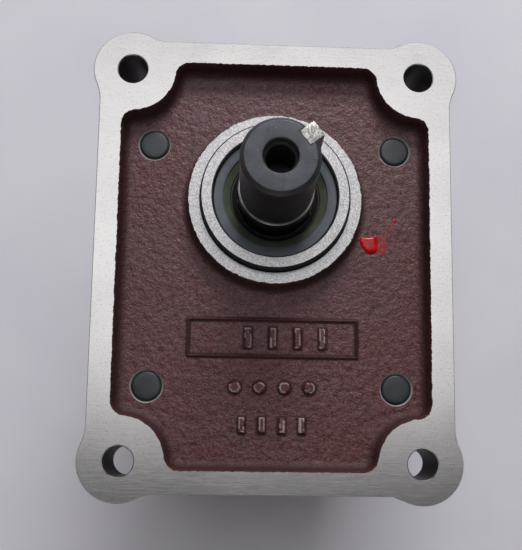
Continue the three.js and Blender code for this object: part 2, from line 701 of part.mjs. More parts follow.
function inputShaft() {
  const { radius, chamfer, length } = shaftEnd;
  const shoulder = inputTip - length;
  const bearingTop = frontBearingZ + smallBearing.width + 2 * seat;
  const pinionSeat = rearBearingZ - seat;
  const bearing = smallBearing.bore - fit;
  const nose = pinionBody.bore - fit;
  const neck = nose - pinionRing.grooveDepth;
  const grooveEnd = pinionGrooveZ + pinionRing.grooveWidth;
  const body = turned([
    [0, inputShaftEndZ], [nose, inputShaftEndZ], [nose, pinionGrooveZ], [neck, pinionGrooveZ],
    [neck, grooveEnd], [nose, grooveEnd], [nose, pinionSeat], [bearing, pinionSeat], [bearing, bearingTop],
    [sealJournal, bearingTop], [sealJournal, shoulder],
    [radius, shoulder], [radius, inputTip - chamfer], [radius - chamfer, inputTip], [0, inputTip],
  ], 26);
  const keyTop = pinionKeyZ + innerKey.length + fit;
  const slot = keyway(innerKey.width + 2 * fit, pinionKeyZ - fit, keyTop, innerKey.inner - fit, pastShaft);
  return cut(body, slot.rotateZ(-inputKeyAngle), ...keyedEndCuts(inputTip));
}

function outputShaft() {
  const { radius, chamfer } = shaftEnd;
  const bearing = largeBearing.bore - fit;
  const shoulder = outputHub.driveEnd + 2;
  const drive = driveBearingY - 2 * seat;
  const neck = bearing - outputShaftRing.grooveDepth;
  const grooveEnd = outputShaftGrooveY + outputShaftRing.grooveWidth;
  const body = turned([
    [0, shaftBlindY], [bearing, shaftBlindY], [bearing, outputShaftGrooveY], [neck, outputShaftGrooveY],
    [neck, grooveEnd], [bearing, grooveEnd], [bearing, gearShoulderY],
    [middleShaft, gearShoulderY], [middleShaft, drive], [bearing, drive], [bearing, shoulder],
    [radius, shoulder], [radius, outputTip - chamfer], [radius - chamfer, outputTip], [0, outputTip],
  ]);
  const slotWidth = gearKey.width + 2 * fit;
  const slotEnd = gearKeyY + gearKey.length + fit;
  const slot = keyway(slotWidth, gearKeyY - fit, slotEnd, gearKey.inner - fit, middleShaft - 1);
  return cut(body, slot, ...keyedEndCuts(outputTip));
}

// Bearings, seals and rings ----------------------------------------------------------------------

// The three bodies of a ball bearing about Z, from height zero to its width. The race's groove is as deep
// as the track, and its lips leave the middle open for the cage.
function ballBearing({ bore, outside, width, balls }) {
  const pitch = (bore + outside) / 2;
  const track = (outside - bore) * 0.31;
  const lip = 0.55 * track;
  const half = Math.sqrt(track ** 2 - lip ** 2);
  const middle = width / 2;
  const outerRace = turned([
    [pitch + lip, 0], [outside - fit, 0], [outside - fit, width], [pitch + lip, width],
    [pitch + lip, middle + half], [pitch + track, middle], [pitch + lip, middle - half],
  ]);
  const innerRace = turned([
    [bore + fit, 0], [pitch - lip, 0], [pitch - lip, middle - half], [pitch - track, middle],
    [pitch - lip, middle + half], [pitch - lip, width], [bore + fit, width],
  ], innerSides);
  const ballRadius = 0.88 * track - running;
  const cageHalf = { thickness: 1.1, width: 3 };
  const cage = tube(
    pitch - cageHalf.thickness, pitch + cageHalf.thickness,
    middle - cageHalf.width, middle + cageHalf.width, 14,
  );
  const ball = new THREE.SphereGeometry(ballRadius, 6, 4).rotateX(Math.PI / 2).translate(pitch, 0, middle);
  const ring = Array.from({ length: balls }, (_, i) => ball.clone().rotateZ(2 * Math.PI * i / balls));
  return { outerRace, innerRace, ballCage: join(cage, ...ring) };
}

// Depths below a lip seal's face, and the thickness of its case.
const sealShape = {
  step: 0.9, web: 2.8, lipTop: 3.6, lipEnd: 6.4, back: 5, webBack: 4, case: 1.4, lip: 1.2,
  spring: 1.4, springTop: 5.5, springEnd: 6.9,
};

// A lip seal from height zero to its width, its open side down: case, sloping web, lip at the shaft.
function lipSeal({ outside, width }, shaft) {
  const outer = outside - fit;
  const lip = shaft + running;
  const web = lip + (outer - lip) * 0.36;
  const step = lip + (outer - lip) * 0.67;
  const below = (depth) => width - depth;
  return turned([
    [outer, 0], [outer, width], [step, width], [step, below(sealShape.step)], [web, below(sealShape.web)],
    [lip, below(sealShape.lipTop)], [lip, below(sealShape.lipEnd)],
    [lip + sealShape.lip, below(sealShape.back)], [outer - sealShape.case, below(sealShape.webBack)],
    [outer - sealShape.case, 0],
  ], 28);
}

// The garter spring behind the lip.
function sealSpring({ width }, shaft) {
  const { spring, springTop, springEnd } = sealShape;
  const springInner = shaft + running + spring;
  return tube(springInner, springInner + spring, width - springEnd, width - springTop, holeSides);
}

// A retaining ring with a gap, so that it opens onto a shaft or closes into a bore.
function retainingRing({ inner: inside, outer, thickness }, from) {
  const gap = block(20, ringGap, 10, (inside + outer) / 2, 0, from);
  return cut(tube(inside, outer, from, from + thickness, holeSides), gap);
}

function endCap() {
  const { register, registerBore, hollow, chamfer } = endCapShape;
  const { radius } = outputHub;
  const registerY = blindBearingY - 2 * seat;
  const body = turned([
    [0, endCapOutsideY], [radius - chamfer, endCapOutsideY], [radius, endCapOutsideY + chamfer],
    [radius, endCapFaceY], [register, endCapFaceY], [register, registerY], [registerBore, registerY],
    [registerBore, endCapFaceY - hollow], [0, endCapFaceY - hollow],
  ], 28);
  const hole = drill(capScrew.radius + capScrew.clearance, -pastCap, pastCap, threadSides);
  return cut(body, ...capScrewAngles.map((angle) => ontoCapCircle(hole, angle, outputHub.blindEnd)));
}

function endCapGasket() {
  const from = outputHub.blindEnd - seat - gasketThickness;
  const ring = tube(endCapShape.register + 0.5, outputHub.radius, from, from + gasketThickness, 28);
  const hole = drill(capScrew.radius + running, from - 1, from + gasketThickness + 1, threadSides);
  return cut(ring, ...capScrewAngles.map((angle) => ontoCapCircle(hole, angle, 0)));
}

// Assembly ---------------------------------------------------------------------------------------

function named(name, body, colour) {
  const mesh = new THREE.Mesh(geometryOf(solid(body)), new THREE.MeshStandardMaterial(colour));
  mesh.name = name;
  return mesh;
}

function placed(mesh, x, y, z) {
  mesh.position.set(x, y, z);
  return mesh;
}

function bearingGroup(name, size, start) {
  const { outerRace, innerRace, ballCage } = ballBearing(size);
  const group = new THREE.Group();
  group.add(named(`${name}_outer_race`, outerRace, colours.bright));
  group.add(named(`${name}_inner_race`, innerRace, colours.bright));
  group.add(named(`${name}_ball_cage`, ballCage, colours.bright));
  group.position.z = start;
  return group;
}

function housingGroup() {
  const group = new THREE.Group();
  group.add(named('front_housing', frontHousing(), colours.primer));
  group.add(named('main_housing', mainHousing(), colours.primer));
  group.add(named('flange_gasket', flangeGasket(), colours.gasket));
  group.add(named('rear_cover', rearCover(), colours.primer));
  group.add(named('rear_gasket', rearGasket(), colours.gasket));
  screwPlaces.forEach(([x, y], i) => {
    group.add(placed(named(`housing_screw_${i + 1}`, makeHousingScrew(), colours.blackened), x, y, 0));
  });
  coverScrewPlaces.forEach(([x, y], i) => {
    group.add(placed(named(`rear_cover_screw_${i + 1}`, makeCoverScrew(), colours.blackened), x, y, 0));
  });
  for (const { name, side, y, z } of plugPlaces) {
    const fitting = new THREE.Group();
    fitting.add(named(name, makePlug(), colours.zinc));
    fitting.add(named(`${name}_washer`, makePlugWasher(), colours.copper));
    fitting.position.set(side * (gearCase.halfWidth + plug.padHeight), y, z);
    fitting.rotation.y = side * Math.PI / 2;
    group.add(fitting);
  }
  return group;
}

function inputGroup() {
  const group = new THREE.Group();
  const sealStart = sealSeatZ + seat;
  const seal = named('input_seal', lipSeal(inputSealSize, sealJournal), colours.sealBlue);
  const spring = named('input_seal_spring', sealSpring(inputSealSize, sealJournal), colours.bright);
  group.add(placed(seal, 0, 0, sealStart), placed(spring, 0, 0, sealStart));
  group.add(bearingGroup('input_front_bearing', smallBearing, frontBearingZ));
  group.add(bearingGroup('input_rear_bearing', smallBearing, rearBearingZ));
  const between = rearBearingZ + smallBearing.width;
  const spacerEnd = frontBearingZ - seat;
  const spacer = (inside, outside) => tube(inside, outside, between + seat, spacerEnd, innerSides);
  const outerSpacer = spacer(inputSpacer.outerBore, smallBearing.outside - fit);
  const innerSpacer = spacer(smallBearing.bore + fit, inputSpacer.innerOutside);
  group.add(named('input_outer_spacer', outerSpacer, colours.gearSteel));
  group.add(named('input_inner_spacer', innerSpacer, colours.gearSteel));
  const boreRing = retainingRing(inputBoreRing, inputGrooveZ + 2 * seat);
  group.add(named('input_bearing_retaining_ring', boreRing, colours.blackened));
  const turning = new THREE.Group();
  turning.rotation.z = inputKeyAngle;
  turning.add(named('input_shaft', inputShaft(), colours.blackened));
  turning.add(named('input_key', makeKey(inputTip), colours.bright));
  const length = innerKey.length;
  const key = keyway(innerKey.width, pinionKeyZ, pinionKeyZ + length, innerKey.inner, innerKey.outer);
  group.add(named('pinion_key', key, colours.bright));
  const ring = retainingRing(pinionRing, pinionGrooveZ + 2 * seat);
  turning.add(named('pinion_retaining_ring', ring, colours.blackened));
  group.add(turning);
  return group;
}

function gearGroup() {
  const group = new THREE.Group();
  group.add(placed(named('bevel_pinion', pinion(), colours.gearSteel), 0, 0, crossZ));
  const crown = placed(named('crown_gear', crownGear(), colours.gearSteel), 0, 0, crossZ);
  crown.rotation.x = Math.PI / 2;
  group.add(crown);
  return group;
}

function outputGroup() {
  const group = new THREE.Group();
  group.position.z = crossZ;
  group.rotation.x = -Math.PI / 2;
  group.add(named('output_shaft', outputShaft(), colours.blackened));
  group.add(named('output_key', makeKey(outputTip), colours.bright));
  const key = keyway(gearKey.width, gearKeyY, gearKeyY + gearKey.length, gearKey.inner, gearKey.outer);
  group.add(named('crown_gear_key', key, colours.bright));
  const spacerStart = blindBearingY + largeBearing.width + seat;
  const spacer = tube(largeBearing.bore + fit, crownSpacerOutside, spacerStart, gearHubY - seat, innerSides);
  group.add(named('crown_gear_spacer', spacer, colours.gearSteel));
  const shaftRing = retainingRing(outputShaftRing, outputShaftGrooveY + seat);
  group.add(named('output_shaft_retaining_ring', shaftRing, colours.blackened));
  group.add(bearingGroup('output_drive_bearing', largeBearing, driveBearingY));
  group.add(bearingGroup('output_blind_bearing', largeBearing, blindBearingY));
  const boreRing = retainingRing(outputBoreRing, outputGrooveY + 2 * seat);
  group.add(named('output_bearing_retaining_ring', boreRing, colours.blackened));
  const sealStart = outputHub.driveEnd - outputSealSize.width;
  const seal = named('output_seal', lipSeal(outputSealSize, outputJournal), colours.sealBlue);
  const spring = named('output_seal_spring', sealSpring(outputSealSize, outputJournal), colours.bright);
  group.add(placed(seal, 0, 0, sealStart), placed(spring, 0, 0, sealStart));
  group.add(named('end_cap', endCap(), colours.primer));
  group.add(named('end_cap_gasket', endCapGasket(), colours.gasket));
  capScrewAngles.forEach((angle, i) => {
    const screw = named(`end_cap_screw_${i + 1}`, makeCapScrew(), colours.blackened);
    const { circle } = capScrew;
    screw.rotation.x = Math.PI;
    group.add(placed(screw, circle * Math.cos(angle), circle * Math.sin(angle), endCapOutsideY - seat));
  });
  return group;
}

const gearbox = new THREE.Group();
gearbox.name = 'right_angle_bevel_gearbox';
gearbox.add(housingGroup(), inputGroup(), gearGroup(), outputGroup());

export default gearbox;
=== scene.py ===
"""Looks for the right angle bevel gearbox. Shapes are drawn in millimetres in the CAD frame, which stands on
z 0 with the input shaft along +Z and the output shaft along +Y."""

import json
import math

import bmesh
import bpy
import numpy as np
from mathutils import Matrix, Vector, noise
from mathutils.geometry import delaunay_2d_cdt

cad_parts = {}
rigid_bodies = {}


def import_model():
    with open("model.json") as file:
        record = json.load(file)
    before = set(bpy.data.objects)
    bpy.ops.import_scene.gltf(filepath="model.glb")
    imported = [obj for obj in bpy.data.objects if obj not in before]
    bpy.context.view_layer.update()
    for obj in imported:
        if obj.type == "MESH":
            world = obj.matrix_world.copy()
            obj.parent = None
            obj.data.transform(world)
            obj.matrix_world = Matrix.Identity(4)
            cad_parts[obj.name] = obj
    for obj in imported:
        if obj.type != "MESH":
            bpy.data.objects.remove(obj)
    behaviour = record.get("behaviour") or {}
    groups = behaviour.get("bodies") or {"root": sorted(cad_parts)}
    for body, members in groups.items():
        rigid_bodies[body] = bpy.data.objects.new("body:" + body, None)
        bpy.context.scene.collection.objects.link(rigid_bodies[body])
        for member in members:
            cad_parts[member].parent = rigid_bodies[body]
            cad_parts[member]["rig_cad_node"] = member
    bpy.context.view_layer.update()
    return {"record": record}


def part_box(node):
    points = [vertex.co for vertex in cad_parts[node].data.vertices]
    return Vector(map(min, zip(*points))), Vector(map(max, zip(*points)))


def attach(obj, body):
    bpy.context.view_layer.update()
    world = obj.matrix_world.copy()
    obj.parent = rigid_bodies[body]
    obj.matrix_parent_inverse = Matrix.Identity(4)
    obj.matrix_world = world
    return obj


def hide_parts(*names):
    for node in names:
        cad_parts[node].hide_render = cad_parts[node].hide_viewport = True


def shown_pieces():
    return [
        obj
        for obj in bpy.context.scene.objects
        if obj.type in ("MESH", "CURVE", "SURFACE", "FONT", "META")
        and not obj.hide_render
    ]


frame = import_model()

MM = 0.001
TURN = 2 * math.pi


# Places from the frame ----------------------------------------------------------------------------

def low(node):
    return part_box(node)[0] / MM


def high(node):
    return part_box(node)[1] / MM


def middle(node):
    return (low(node) + high(node)) / 2


mounts = {mount["name"]: Vector(mount["pos_m"]) / MM for mount in frame["record"]["mounts"]}
rim_z = mounts["mounting_flange"].z
pattern_y = mounts["mounting_flange"].y
cross_z = mounts["output_shaft_end"].z
spigot_z = high("front_housing").z
hub_end_z = low("front_housing").z
joint_z = high("flange_gasket").z + 0.1
case_top_z = high("main_housing").z
case_bottom_z = low("main_housing").z
input_tip = high("input_shaft").z
output_tip = high("output_shaft").y

fit = 0.15
flange = {
    "half_width": 72, "half_height": 92, "hole_x": 59, "hole_y": 79.5, "hole_radius": 6,
    "ear_radius": 16, "side_blend": 18, "end_blend": 12,
}
recess = {
    "depth": 7.5, "half_width": 63, "half_height": 83, "island_radius": 17.5, "corner": 6, "fillet": 3.6,
}
boss = {"radius": 35, "fillet": 3.2, "spigot": 30, "chamfer": 0.6, "undercut": 30.45}
bearing_hub_radius = 32
screw_spacing = 50
screw_radius = 6
floor_z = rim_z - recess["depth"]
gear_case = {"half_width": 54, "top": 42, "bottom": -80, "top_cut": 58, "bottom_cut": 107, "wall": 7.5}
joint_plate = {"half_width": 62, "top": 48, "bottom": -88, "corner": 12, "thickness": 16}
hub_radius = 41
flange_outset = 6
quarter_signs = [(-1, 1), (1, 1), (1, -1), (-1, -1)]
flange_holes = [(sx * flange["hole_x"], pattern_y + sy * flange["hole_y"]) for sx, sy in quarter_signs]
screw_places = [(sx * screw_spacing, pattern_y + sy * screw_spacing) for sx, sy in quarter_signs]
cover_screw_hole, cap_screw_hole, plug_bore = 3.15, 2.65, 8.15
cover_screws = [f"rear_cover_screw_{number}" for number in range(1, 7)]
cover_screw_places = [middle(node).xy for node in cover_screws]
cap_screws = [f"end_cap_screw_{number}" for number in range(1, 5)]
cap_screw_places = [(middle(node).x, cross_z - middle(node).z) for node in cap_screws]
plugs = ["filler_plug", "level_plug", "drain_plug"]


# Materials ----------------------------------------------------------------------------------------

def colour(red, green, blue):
    """A screen colour, 0 to 255, as the linear value that a shader takes."""
    def linear(value):
        value /= 255
        return value / 12.92 if value <= 0.04045 else ((value + 0.055) / 1.055) ** 2.4
    return (linear(red), linear(green), linear(blue), 1)


def grey(level):
    return (level, level, level, 1)


def colour_ramp(tree, value, stops):
    """Nodes that map a value to colours: each stop is (position, colour)."""
    node = tree.nodes.new("ShaderNodeValToRGB")
    elements = node.color_ramp.elements
    while len(elements) < len(stops):
        elements.new(0.5)
    for element, (position, tint) in zip(elements, stops):
        element.position = position
        element.color = tint
    tree.links.new(value, node.inputs["Fac"])
    return node.outputs["Color"]


class Finish:
    """A procedural material, built from a Principled shader and textures in the frame's own coordinates."""

    def __init__(self, name, roughness=0.5, metallic=0.0):
        self.material = bpy.data.materials.new(name)
        self.material.use_nodes = True
        self.tree = self.material.node_tree
        self.shader = self.tree.nodes["Principled BSDF"]
        self.shader.inputs["Roughness"].default_value = roughness
        self.shader.inputs["Metallic"].default_value = metallic
        self.place = self.tree.nodes.new("ShaderNodeTexCoord").outputs["Object"]

    def link(self, source, target):
        self.tree.links.new(source, target)

    def stretched(self, along):
        """Coordinates drawn out along each axis: a factor of 0.1 makes marks ten times as long."""
        node = self.tree.nodes.new("ShaderNodeMapping")
        node.inputs["Scale"].default_value = along
        self.link(self.place, node.inputs["Vector"])
        return node.outputs["Vector"]

    def noise(self, size, detail=3.0, place=None):
        """Cloudy noise whose marks are about size millimetres across."""
        node = self.tree.nodes.new("ShaderNodeTexNoise")
        node.inputs["Scale"].default_value = 1 / (size * MM)
        node.inputs["Detail"].default_value = detail
        self.link(place or self.place, node.inputs["Vector"])
        return node.outputs["Fac"]

    def attribute(self, name):
        node = self.tree.nodes.new("ShaderNodeAttribute")
        node.attribute_name = name
        return node.outputs["Fac"]

    def ramp(self, value, *stops):
        return colour_ramp(self.tree, value, stops)

    def level(self, value, *stops):
        """Maps a value to plain numbers: each stop is (position, number)."""
        return self.ramp(value, *[(at, grey(number)) for at, number in stops])

    def mix(self, share, first, second):
        """Goes from the first colour to the second as share rises. The second is a plain colour."""
        node = self.tree.nodes.new("ShaderNodeMix")
        node.data_type = "RGBA"
        self.link(share, node.inputs["Factor"])
        colour_a, colour_b = [socket for socket in node.inputs if socket.type == "RGBA"]
        self.link(first, colour_a)
        colour_b.default_value = second
        return next(socket for socket in node.outputs if socket.type == "RGBA")

    def bump(self, height, depth, below=None):
        """Bump of about depth millimetres; below is a bump that it lies on."""
        node = self.tree.nodes.new("ShaderNodeBump")
        node.inputs["Strength"].default_value = 1.0
        node.inputs["Distance"].default_value = depth * MM
        self.link(height, node.inputs["Height"])
        if below is not None:
            self.link(below, node.inputs["Normal"])
        return node.outputs["Normal"]

    def finish(self, base, roughness=None, normal=None):
        self.link(base, self.shader.inputs["Base Color"])
        if roughness is not None:
            self.link(roughness, self.shader.inputs["Roughness"])
        if normal is not None:
            self.link(normal, self.shader.inputs["Normal"])
        return self.material


# How tool marks lie: each is a scale for X, Y and Z, and a small one draws the marks out along that axis.
EVEN = (1, 1, 1)
ACROSS_X = (0.06, 1, 1)
ALONG_Z = (1, 1, 0.15)
ROUND_Z = (1, 1, 3)


def primer():
    """Red-brown primer on a rough casting: grain of one to three millimetres with dark creases, partly pits
    in the paint and partly painted shade; darker and duller where painted shade lies in fillets, along walls
    and round the marks; and pale on mark edges, partly worn bare and partly a painted highlight."""
    f = Finish("primed_cast_iron")
    f.shader.inputs["Specular IOR Level"].default_value = 0.36
    cloud = f.noise(26, 4)
    crease = f.noise(2.1, 6)
    grain = f.noise(0.7, 3)
    base = f.ramp(cloud, (0.35, colour(80, 34, 37)), (0.65, colour(78, 46, 49)))
    base = f.mix(f.level(grain, (0.45, 0.0), (0.68, 0.65)), base, colour(116, 79, 83))
    # Dark creases: partly dark pits in the paint, partly painted shade in the bump's hollows.
    base = f.mix(f.level(crease, (0.3, 0.7), (0.46, 0.0)), base, colour(48, 22, 22))
    # Painted shade: darker and duller in the recess fillets, along its walls, at the boss's foot and round
    # the cast marks.
    base = f.mix(f.attribute("paint_depth"), base, colour(46, 20, 18))
    # Pale edges on the cast marks: partly paint worn bare, partly a painted highlight.
    base = f.mix(f.attribute("wear_and_highlight"), base, colour(196, 176, 168))
    rough = f.level(f.noise(2.4, 3), (0.3, 0.26), (0.7, 0.44))
    rough = f.mix(f.attribute("paint_depth"), rough, grey(0.8))
    normal = f.bump(crease, 0.5)
    normal = f.bump(grain, 0.26, below=normal)
    return f.finish(base, rough, normal)


def machined(name, shades, tooling, size, gloss, depth, lay=ACROSS_X):
    """Bare machined iron, cloudy between its first two shades, with dark graphite specks. Tool marks of a
    given size and depth have the third shade, by a share of tooling."""
    dark, light, bright = [colour(*shade) for shade in shades]
    f = Finish(name, metallic=1.0)
    lines = f.noise(size, 4, f.stretched(lay))
    cloud = f.noise(22, 3)
    specks = f.noise(0.55, 2)
    base = f.ramp(cloud, (0.3, dark), (0.7, light))
    base = f.mix(f.level(lines, (0.4, 0.0), (0.62, tooling)), base, bright)
    base = f.mix(f.level(specks, (0.28, 0.4), (0.42, 0.0)), base, colour(96, 94, 96))
    rough = f.level(lines, (0.3, gloss + 0.03), (0.7, gloss + 0.08))
    normal = f.bump(lines, depth)
    normal = f.bump(specks, depth, below=normal)
    return f.finish(base, rough, normal)


def steel(name, dark, light, roughness, metallic, grain=0.4, lay=ALONG_Z, depth=0.012):
    """Steel with fine tool marks, a little cloud in its colour and uneven gloss."""
    dark, light = colour(*dark), colour(*light)
    f = Finish(name, metallic=metallic)
    marks = f.noise(grain, 3, f.stretched(lay))
    cloud = f.noise(9, 3)
    base = f.ramp(cloud, (0.3, dark), (0.7, light))
    base = f.mix(f.level(marks, (0.35, 0.0), (0.8, 0.4)), base, light)
    rough = f.level(marks, (0.3, roughness * 0.85), (0.7, roughness * 1.2))
    return f.finish(base, rough, f.bump(marks, depth))


def scuffed(name, dark, light, bare):
    """Blackened steel with short bright scratches and flecks of bare metal."""
    dark, light, bare = colour(*dark), colour(*light), colour(*bare)
    f = Finish(name, metallic=0.3)
    base = f.ramp(f.noise(4, 4), (0.3, dark), (0.7, light))
    scratches = f.noise(1.1, 1, f.stretched((1.0, 0.16, 1.0)))
    flecks = f.noise(0.6, 3)
    base = f.mix(f.level(scratches, (0.75, 0.0), (0.8, 0.8)), base, bare)
    base = f.mix(f.level(flecks, (0.68, 0.0), (0.75, 0.7)), base, bare)
    return f.finish(base, f.level(flecks, (0.3, 0.42), (0.7, 0.6)), f.bump(flecks, 0.05))


def rubber(name, dark, light, roughness=0.5):
    """Moulded rubber or fibre: even colour with faint dust and a fine dull grain."""
    f = Finish(name)
    dust = f.noise(5, 4)
    grain = f.noise(0.5, 2)
    base = f.ramp(dust, (0.3, colour(*dark)), (0.75, colour(*light)))
    rough = f.level(grain, (0.3, roughness * 0.85), (0.7, roughness * 1.15))
    return f.finish(base, rough, f.bump(grain, 0.03))


def paint(name, dark, light, roughness, coat):
    """Thick glossy paint, cloudy between two colours."""
    f = Finish(name, roughness=roughness)
    f.shader.inputs["Coat Weight"].default_value = coat
    f.shader.inputs["Coat Roughness"].default_value = 0.06
    f.shader.inputs["Specular IOR Level"].default_value = 0.2
    streak = f.noise(1.6, 3)
    base = f.ramp(streak, (0.35, colour(*dark)), (0.65, colour(*light)))
    return f.finish(base, None, f.bump(streak, 0.08))


PRIMER = primer()
RIM = machined("milled_iron", ((154, 152, 153), (164, 162, 162), (172, 170, 170)), 0.4, 0.35, 0.17, 0.004)
TURNED_SHADES = ((126, 125, 127), (136, 135, 137), (180, 178, 180))
TURNED = machined("turned_iron", TURNED_SHADES, 1.0, 0.45, 0.34, 0.012, EVEN)
KEY_SHADES = ((92, 90, 88), (106, 103, 100), (176, 174, 170))
KEY = machined("key_steel", KEY_SHADES, 1.0, 0.5, 0.34, 0.02, (1, 0.5, 1))
CHAMFER = steel("bare_chamfer", (132, 130, 130), (176, 174, 174), 0.5, 0.4, 0.5, EVEN)
BORE = steel("bored_iron", (96, 95, 97), (126, 125, 126), 0.4, 0.6, 0.5, ROUND_Z)
DRILLED = steel("drilled_iron", (58, 58, 60), (80, 79, 80), 0.5, 0.5, 0.5, ROUND_Z)
# The spigot's side wall is painted near-black as painted shade.
SPIGOT_SIDE_SHADE = steel("spigot_side_shade", (10, 10, 11), (20, 20, 21), 0.6, 0.1, 0.5, ROUND_Z)
BLACKENED = steel("blackened_steel", (44, 43, 45), (58, 57, 60), 0.34, 0.7)
TIP = scuffed("blackened_tip", (56, 58, 66), (74, 76, 84), (176, 176, 178))
SCREW = steel("screw_steel", (40, 42, 46), (56, 58, 62), 0.42, 0.5, 0.5, EVEN, 0.03)
# The seal journal is painted near-black as painted shade, where it lies down inside the boss.
JOURNAL_SHADE = steel("journal_steel_shade", (16, 16, 17), (26, 26, 28), 0.22, 0.6, 0.4, ROUND_Z)
# A thin band at the shaft's shoulder: bare steel, and a painted highlight where the shoulder catches the
# light.
SHOULDER_WEAR_AND_HIGHLIGHT = steel("shoulder_wear_and_highlight", (70, 68, 68), (170, 168, 166), 0.35, 0.9, 0.5, EVEN, 0.02)
GROUND = steel("ground_steel", (172, 172, 174), (196, 195, 196), 0.22, 1.0, 0.3)
GEAR = steel("gear_steel", (104, 105, 110), (136, 136, 140), 0.34, 1.0)
ZINC = steel("zinc_plate", (150, 150, 146), (186, 185, 178), 0.36, 0.9, 0.8, EVEN)
COPPER = steel("copper", (150, 88, 58), (186, 116, 78), 0.38, 1.0, 0.6, EVEN)
SEAL_FACE = rubber("seal_blue_grey", (70, 76, 86), (84, 90, 99))
SEAL_WEB = rubber("seal_olive", (62, 68, 54), (84, 90, 72))
BLACK = rubber("black_rubber", (9, 9, 10), (18, 18, 19))
GASKET = rubber("gasket_fibre", (50, 54, 47), (72, 76, 66), 0.85)
RED = paint("red_mark", (140, 3, 5), (186, 10, 12), 0.22, 0.08)
SMEAR = paint("red_smear", (112, 40, 42), (158, 66, 68), 0.45, 0.0)


# Shape kit ----------------------------------------------------------------------------------------

def arc(x, y, radius, start, end, steps):
    angles = [start + (end - start) * i / steps for i in range(steps + 1)]
    return [(x + radius * math.cos(a), y + radius * math.sin(a)) for a in angles]


def circle(x, y, radius, steps):
    return arc(x, y, radius, 0, TURN * (1 - 1 / steps), steps - 1)


def between(start, end, steps):
    """Points on a straight line, without its ends."""
    return [
        (start[0] + (end[0] - start[0]) * i / steps, start[1] + (end[1] - start[1]) * i / steps)
        for i in range(1, steps)
    ]


def at_height(outline, z):
    return [(x, y, z) for x, y in outline]


def four_corners(corner, steps_up, steps_across):
    """A corner in the +X +Y quarter, mirrored into all four about the bolt pattern, with straight runs."""
    corners = []
    for sx, sy in ((1, 1), (-1, 1), (-1, -1), (1, -1)):
        points = [(sx * x, pattern_y + sy * y) for x, y in corner]
        corners.append(points if sx == sy else points[::-1])
    outline = []
    for i, points in enumerate(corners):
        following = corners[(i + 1) % 4]
        outline += points + between(points[-1], following[0], steps_up if i % 2 else steps_across)
    return outline


def lobed_outline(lobe, side_x, side, end_y, end, half_turn, arc_steps, run_steps):
    """An outline with a round lobe about each bolt hole. An arc of radius side joins it to the straight
    sides, and one of radius end to the straight ends. half_turn is negative where the arcs are hollow."""
    hole_x, hole_y = flange["hole_x"], flange["hole_y"]
    side_y = hole_y - math.sqrt((lobe + side) ** 2 - (side_x - hole_x) ** 2)
    end_x = hole_x - math.sqrt((lobe + end) ** 2 - (end_y - hole_y) ** 2)
    side_angle = math.atan2(hole_y - side_y, hole_x - side_x)
    end_angle = math.atan2(end_y - hole_y, end_x - hole_x)
    blend_steps, lobe_steps = arc_steps
    corner = arc(side_x, side_y, side, (math.pi - half_turn) / 2, side_angle, blend_steps)
    lobe_end = end_angle + (math.pi + half_turn)
    corner += arc(hole_x, hole_y, lobe, side_angle + half_turn, lobe_end, lobe_steps)[1:]
    corner += arc(end_x, end_y, end, end_angle + half_turn, half_turn / 2, blend_steps)[1:]
    return four_corners(corner, *run_steps)


def ear_outline(outset):
    """The flange's outer edge: a round ear about each bolt hole and a hollow blend to each straight side."""
    ear = flange["ear_radius"] + outset
    side, end = flange["side_blend"] - outset, flange["end_blend"] - outset
    side_x = flange["half_width"] + flange["side_blend"]
    end_y = flange["half_height"] + flange["end_blend"]
    return lobed_outline(ear, side_x, side, end_y, end, -math.pi, (8, 32), (90, 60))


def recess_outline(inset):
    """The edge of the recess: a round island about each bolt hole, with a rounded corner on each side."""
    island, corner = recess["island_radius"] + inset, recess["corner"] - inset
    side_x = recess["half_width"] - recess["corner"]
    end_y = recess["half_height"] - recess["corner"]
    return lobed_outline(island, side_x, corner, end_y, corner, math.pi, (10, 24), (190, 120))


def rounded_polygon(corners, radius, steps=6):
    """A polygon, anticlockwise, with each corner rounded and each side in twelve steps."""
    outline, arcs = [], []
    for i, corner in enumerate(corners):
        here = Vector(corner)
        back = (Vector(corners[i - 1]) - here).normalized()
        ahead = (Vector(corners[(i + 1) % len(corners)]) - here).normalized()
        half = back.angle(ahead) / 2
        centre = here + (back + ahead).normalized() * radius / math.sin(half)
        first = here + back * radius / math.tan(half) - centre
        sweep = math.pi - 2 * half
        start = math.atan2(first.y, first.x)
        arcs.append(arc(centre.x, centre.y, radius, start, start + sweep, steps))
    for points, following in zip(arcs, arcs[1:] + arcs[:1]):
        outline += points + between(points[-1], following[0], 12)
    return outline


def case_corners(inset):
    """The gear case's outline as corners, moved inwards by inset."""
    side = gear_case["half_width"] - inset
    top, bottom = gear_case["top"] - inset, gear_case["bottom"] + inset
    top_cut = gear_case["top_cut"] - inset * math.sqrt(2)
    bottom_cut = gear_case["bottom_cut"] - inset * math.sqrt(2)
    right = [
        (bottom_cut + bottom, bottom), (side, side - bottom_cut),
        (side, top_cut - side), (top_cut - top, top),
    ]
    return right + [(-x, y) for x, y in reversed(right)]


def joint_outline(outset):
    side = joint_plate["half_width"] + outset
    top, bottom = joint_plate["top"] + outset, joint_plate["bottom"] - outset
    corners = [(side, bottom), (side, top), (-side, top), (-side, bottom)]
    return rounded_polygon(corners, joint_plate["corner"] + outset, 10)


def inside(points, outline):
    """Which of the points lie inside a closed outline."""
    outline = np.asarray(outline)
    x, y = points[:, 0], points[:, 1]
    odd = np.zeros(len(points), bool)
    for (x1, y1), (x2, y2) in zip(outline, np.roll(outline, -1, 0)):
        if y1 != y2:
            odd ^= ((y1 > y) != (y2 > y)) & (x < (x2 - x1) * (y - y1) / (y2 - y1) + x1)
    return odd


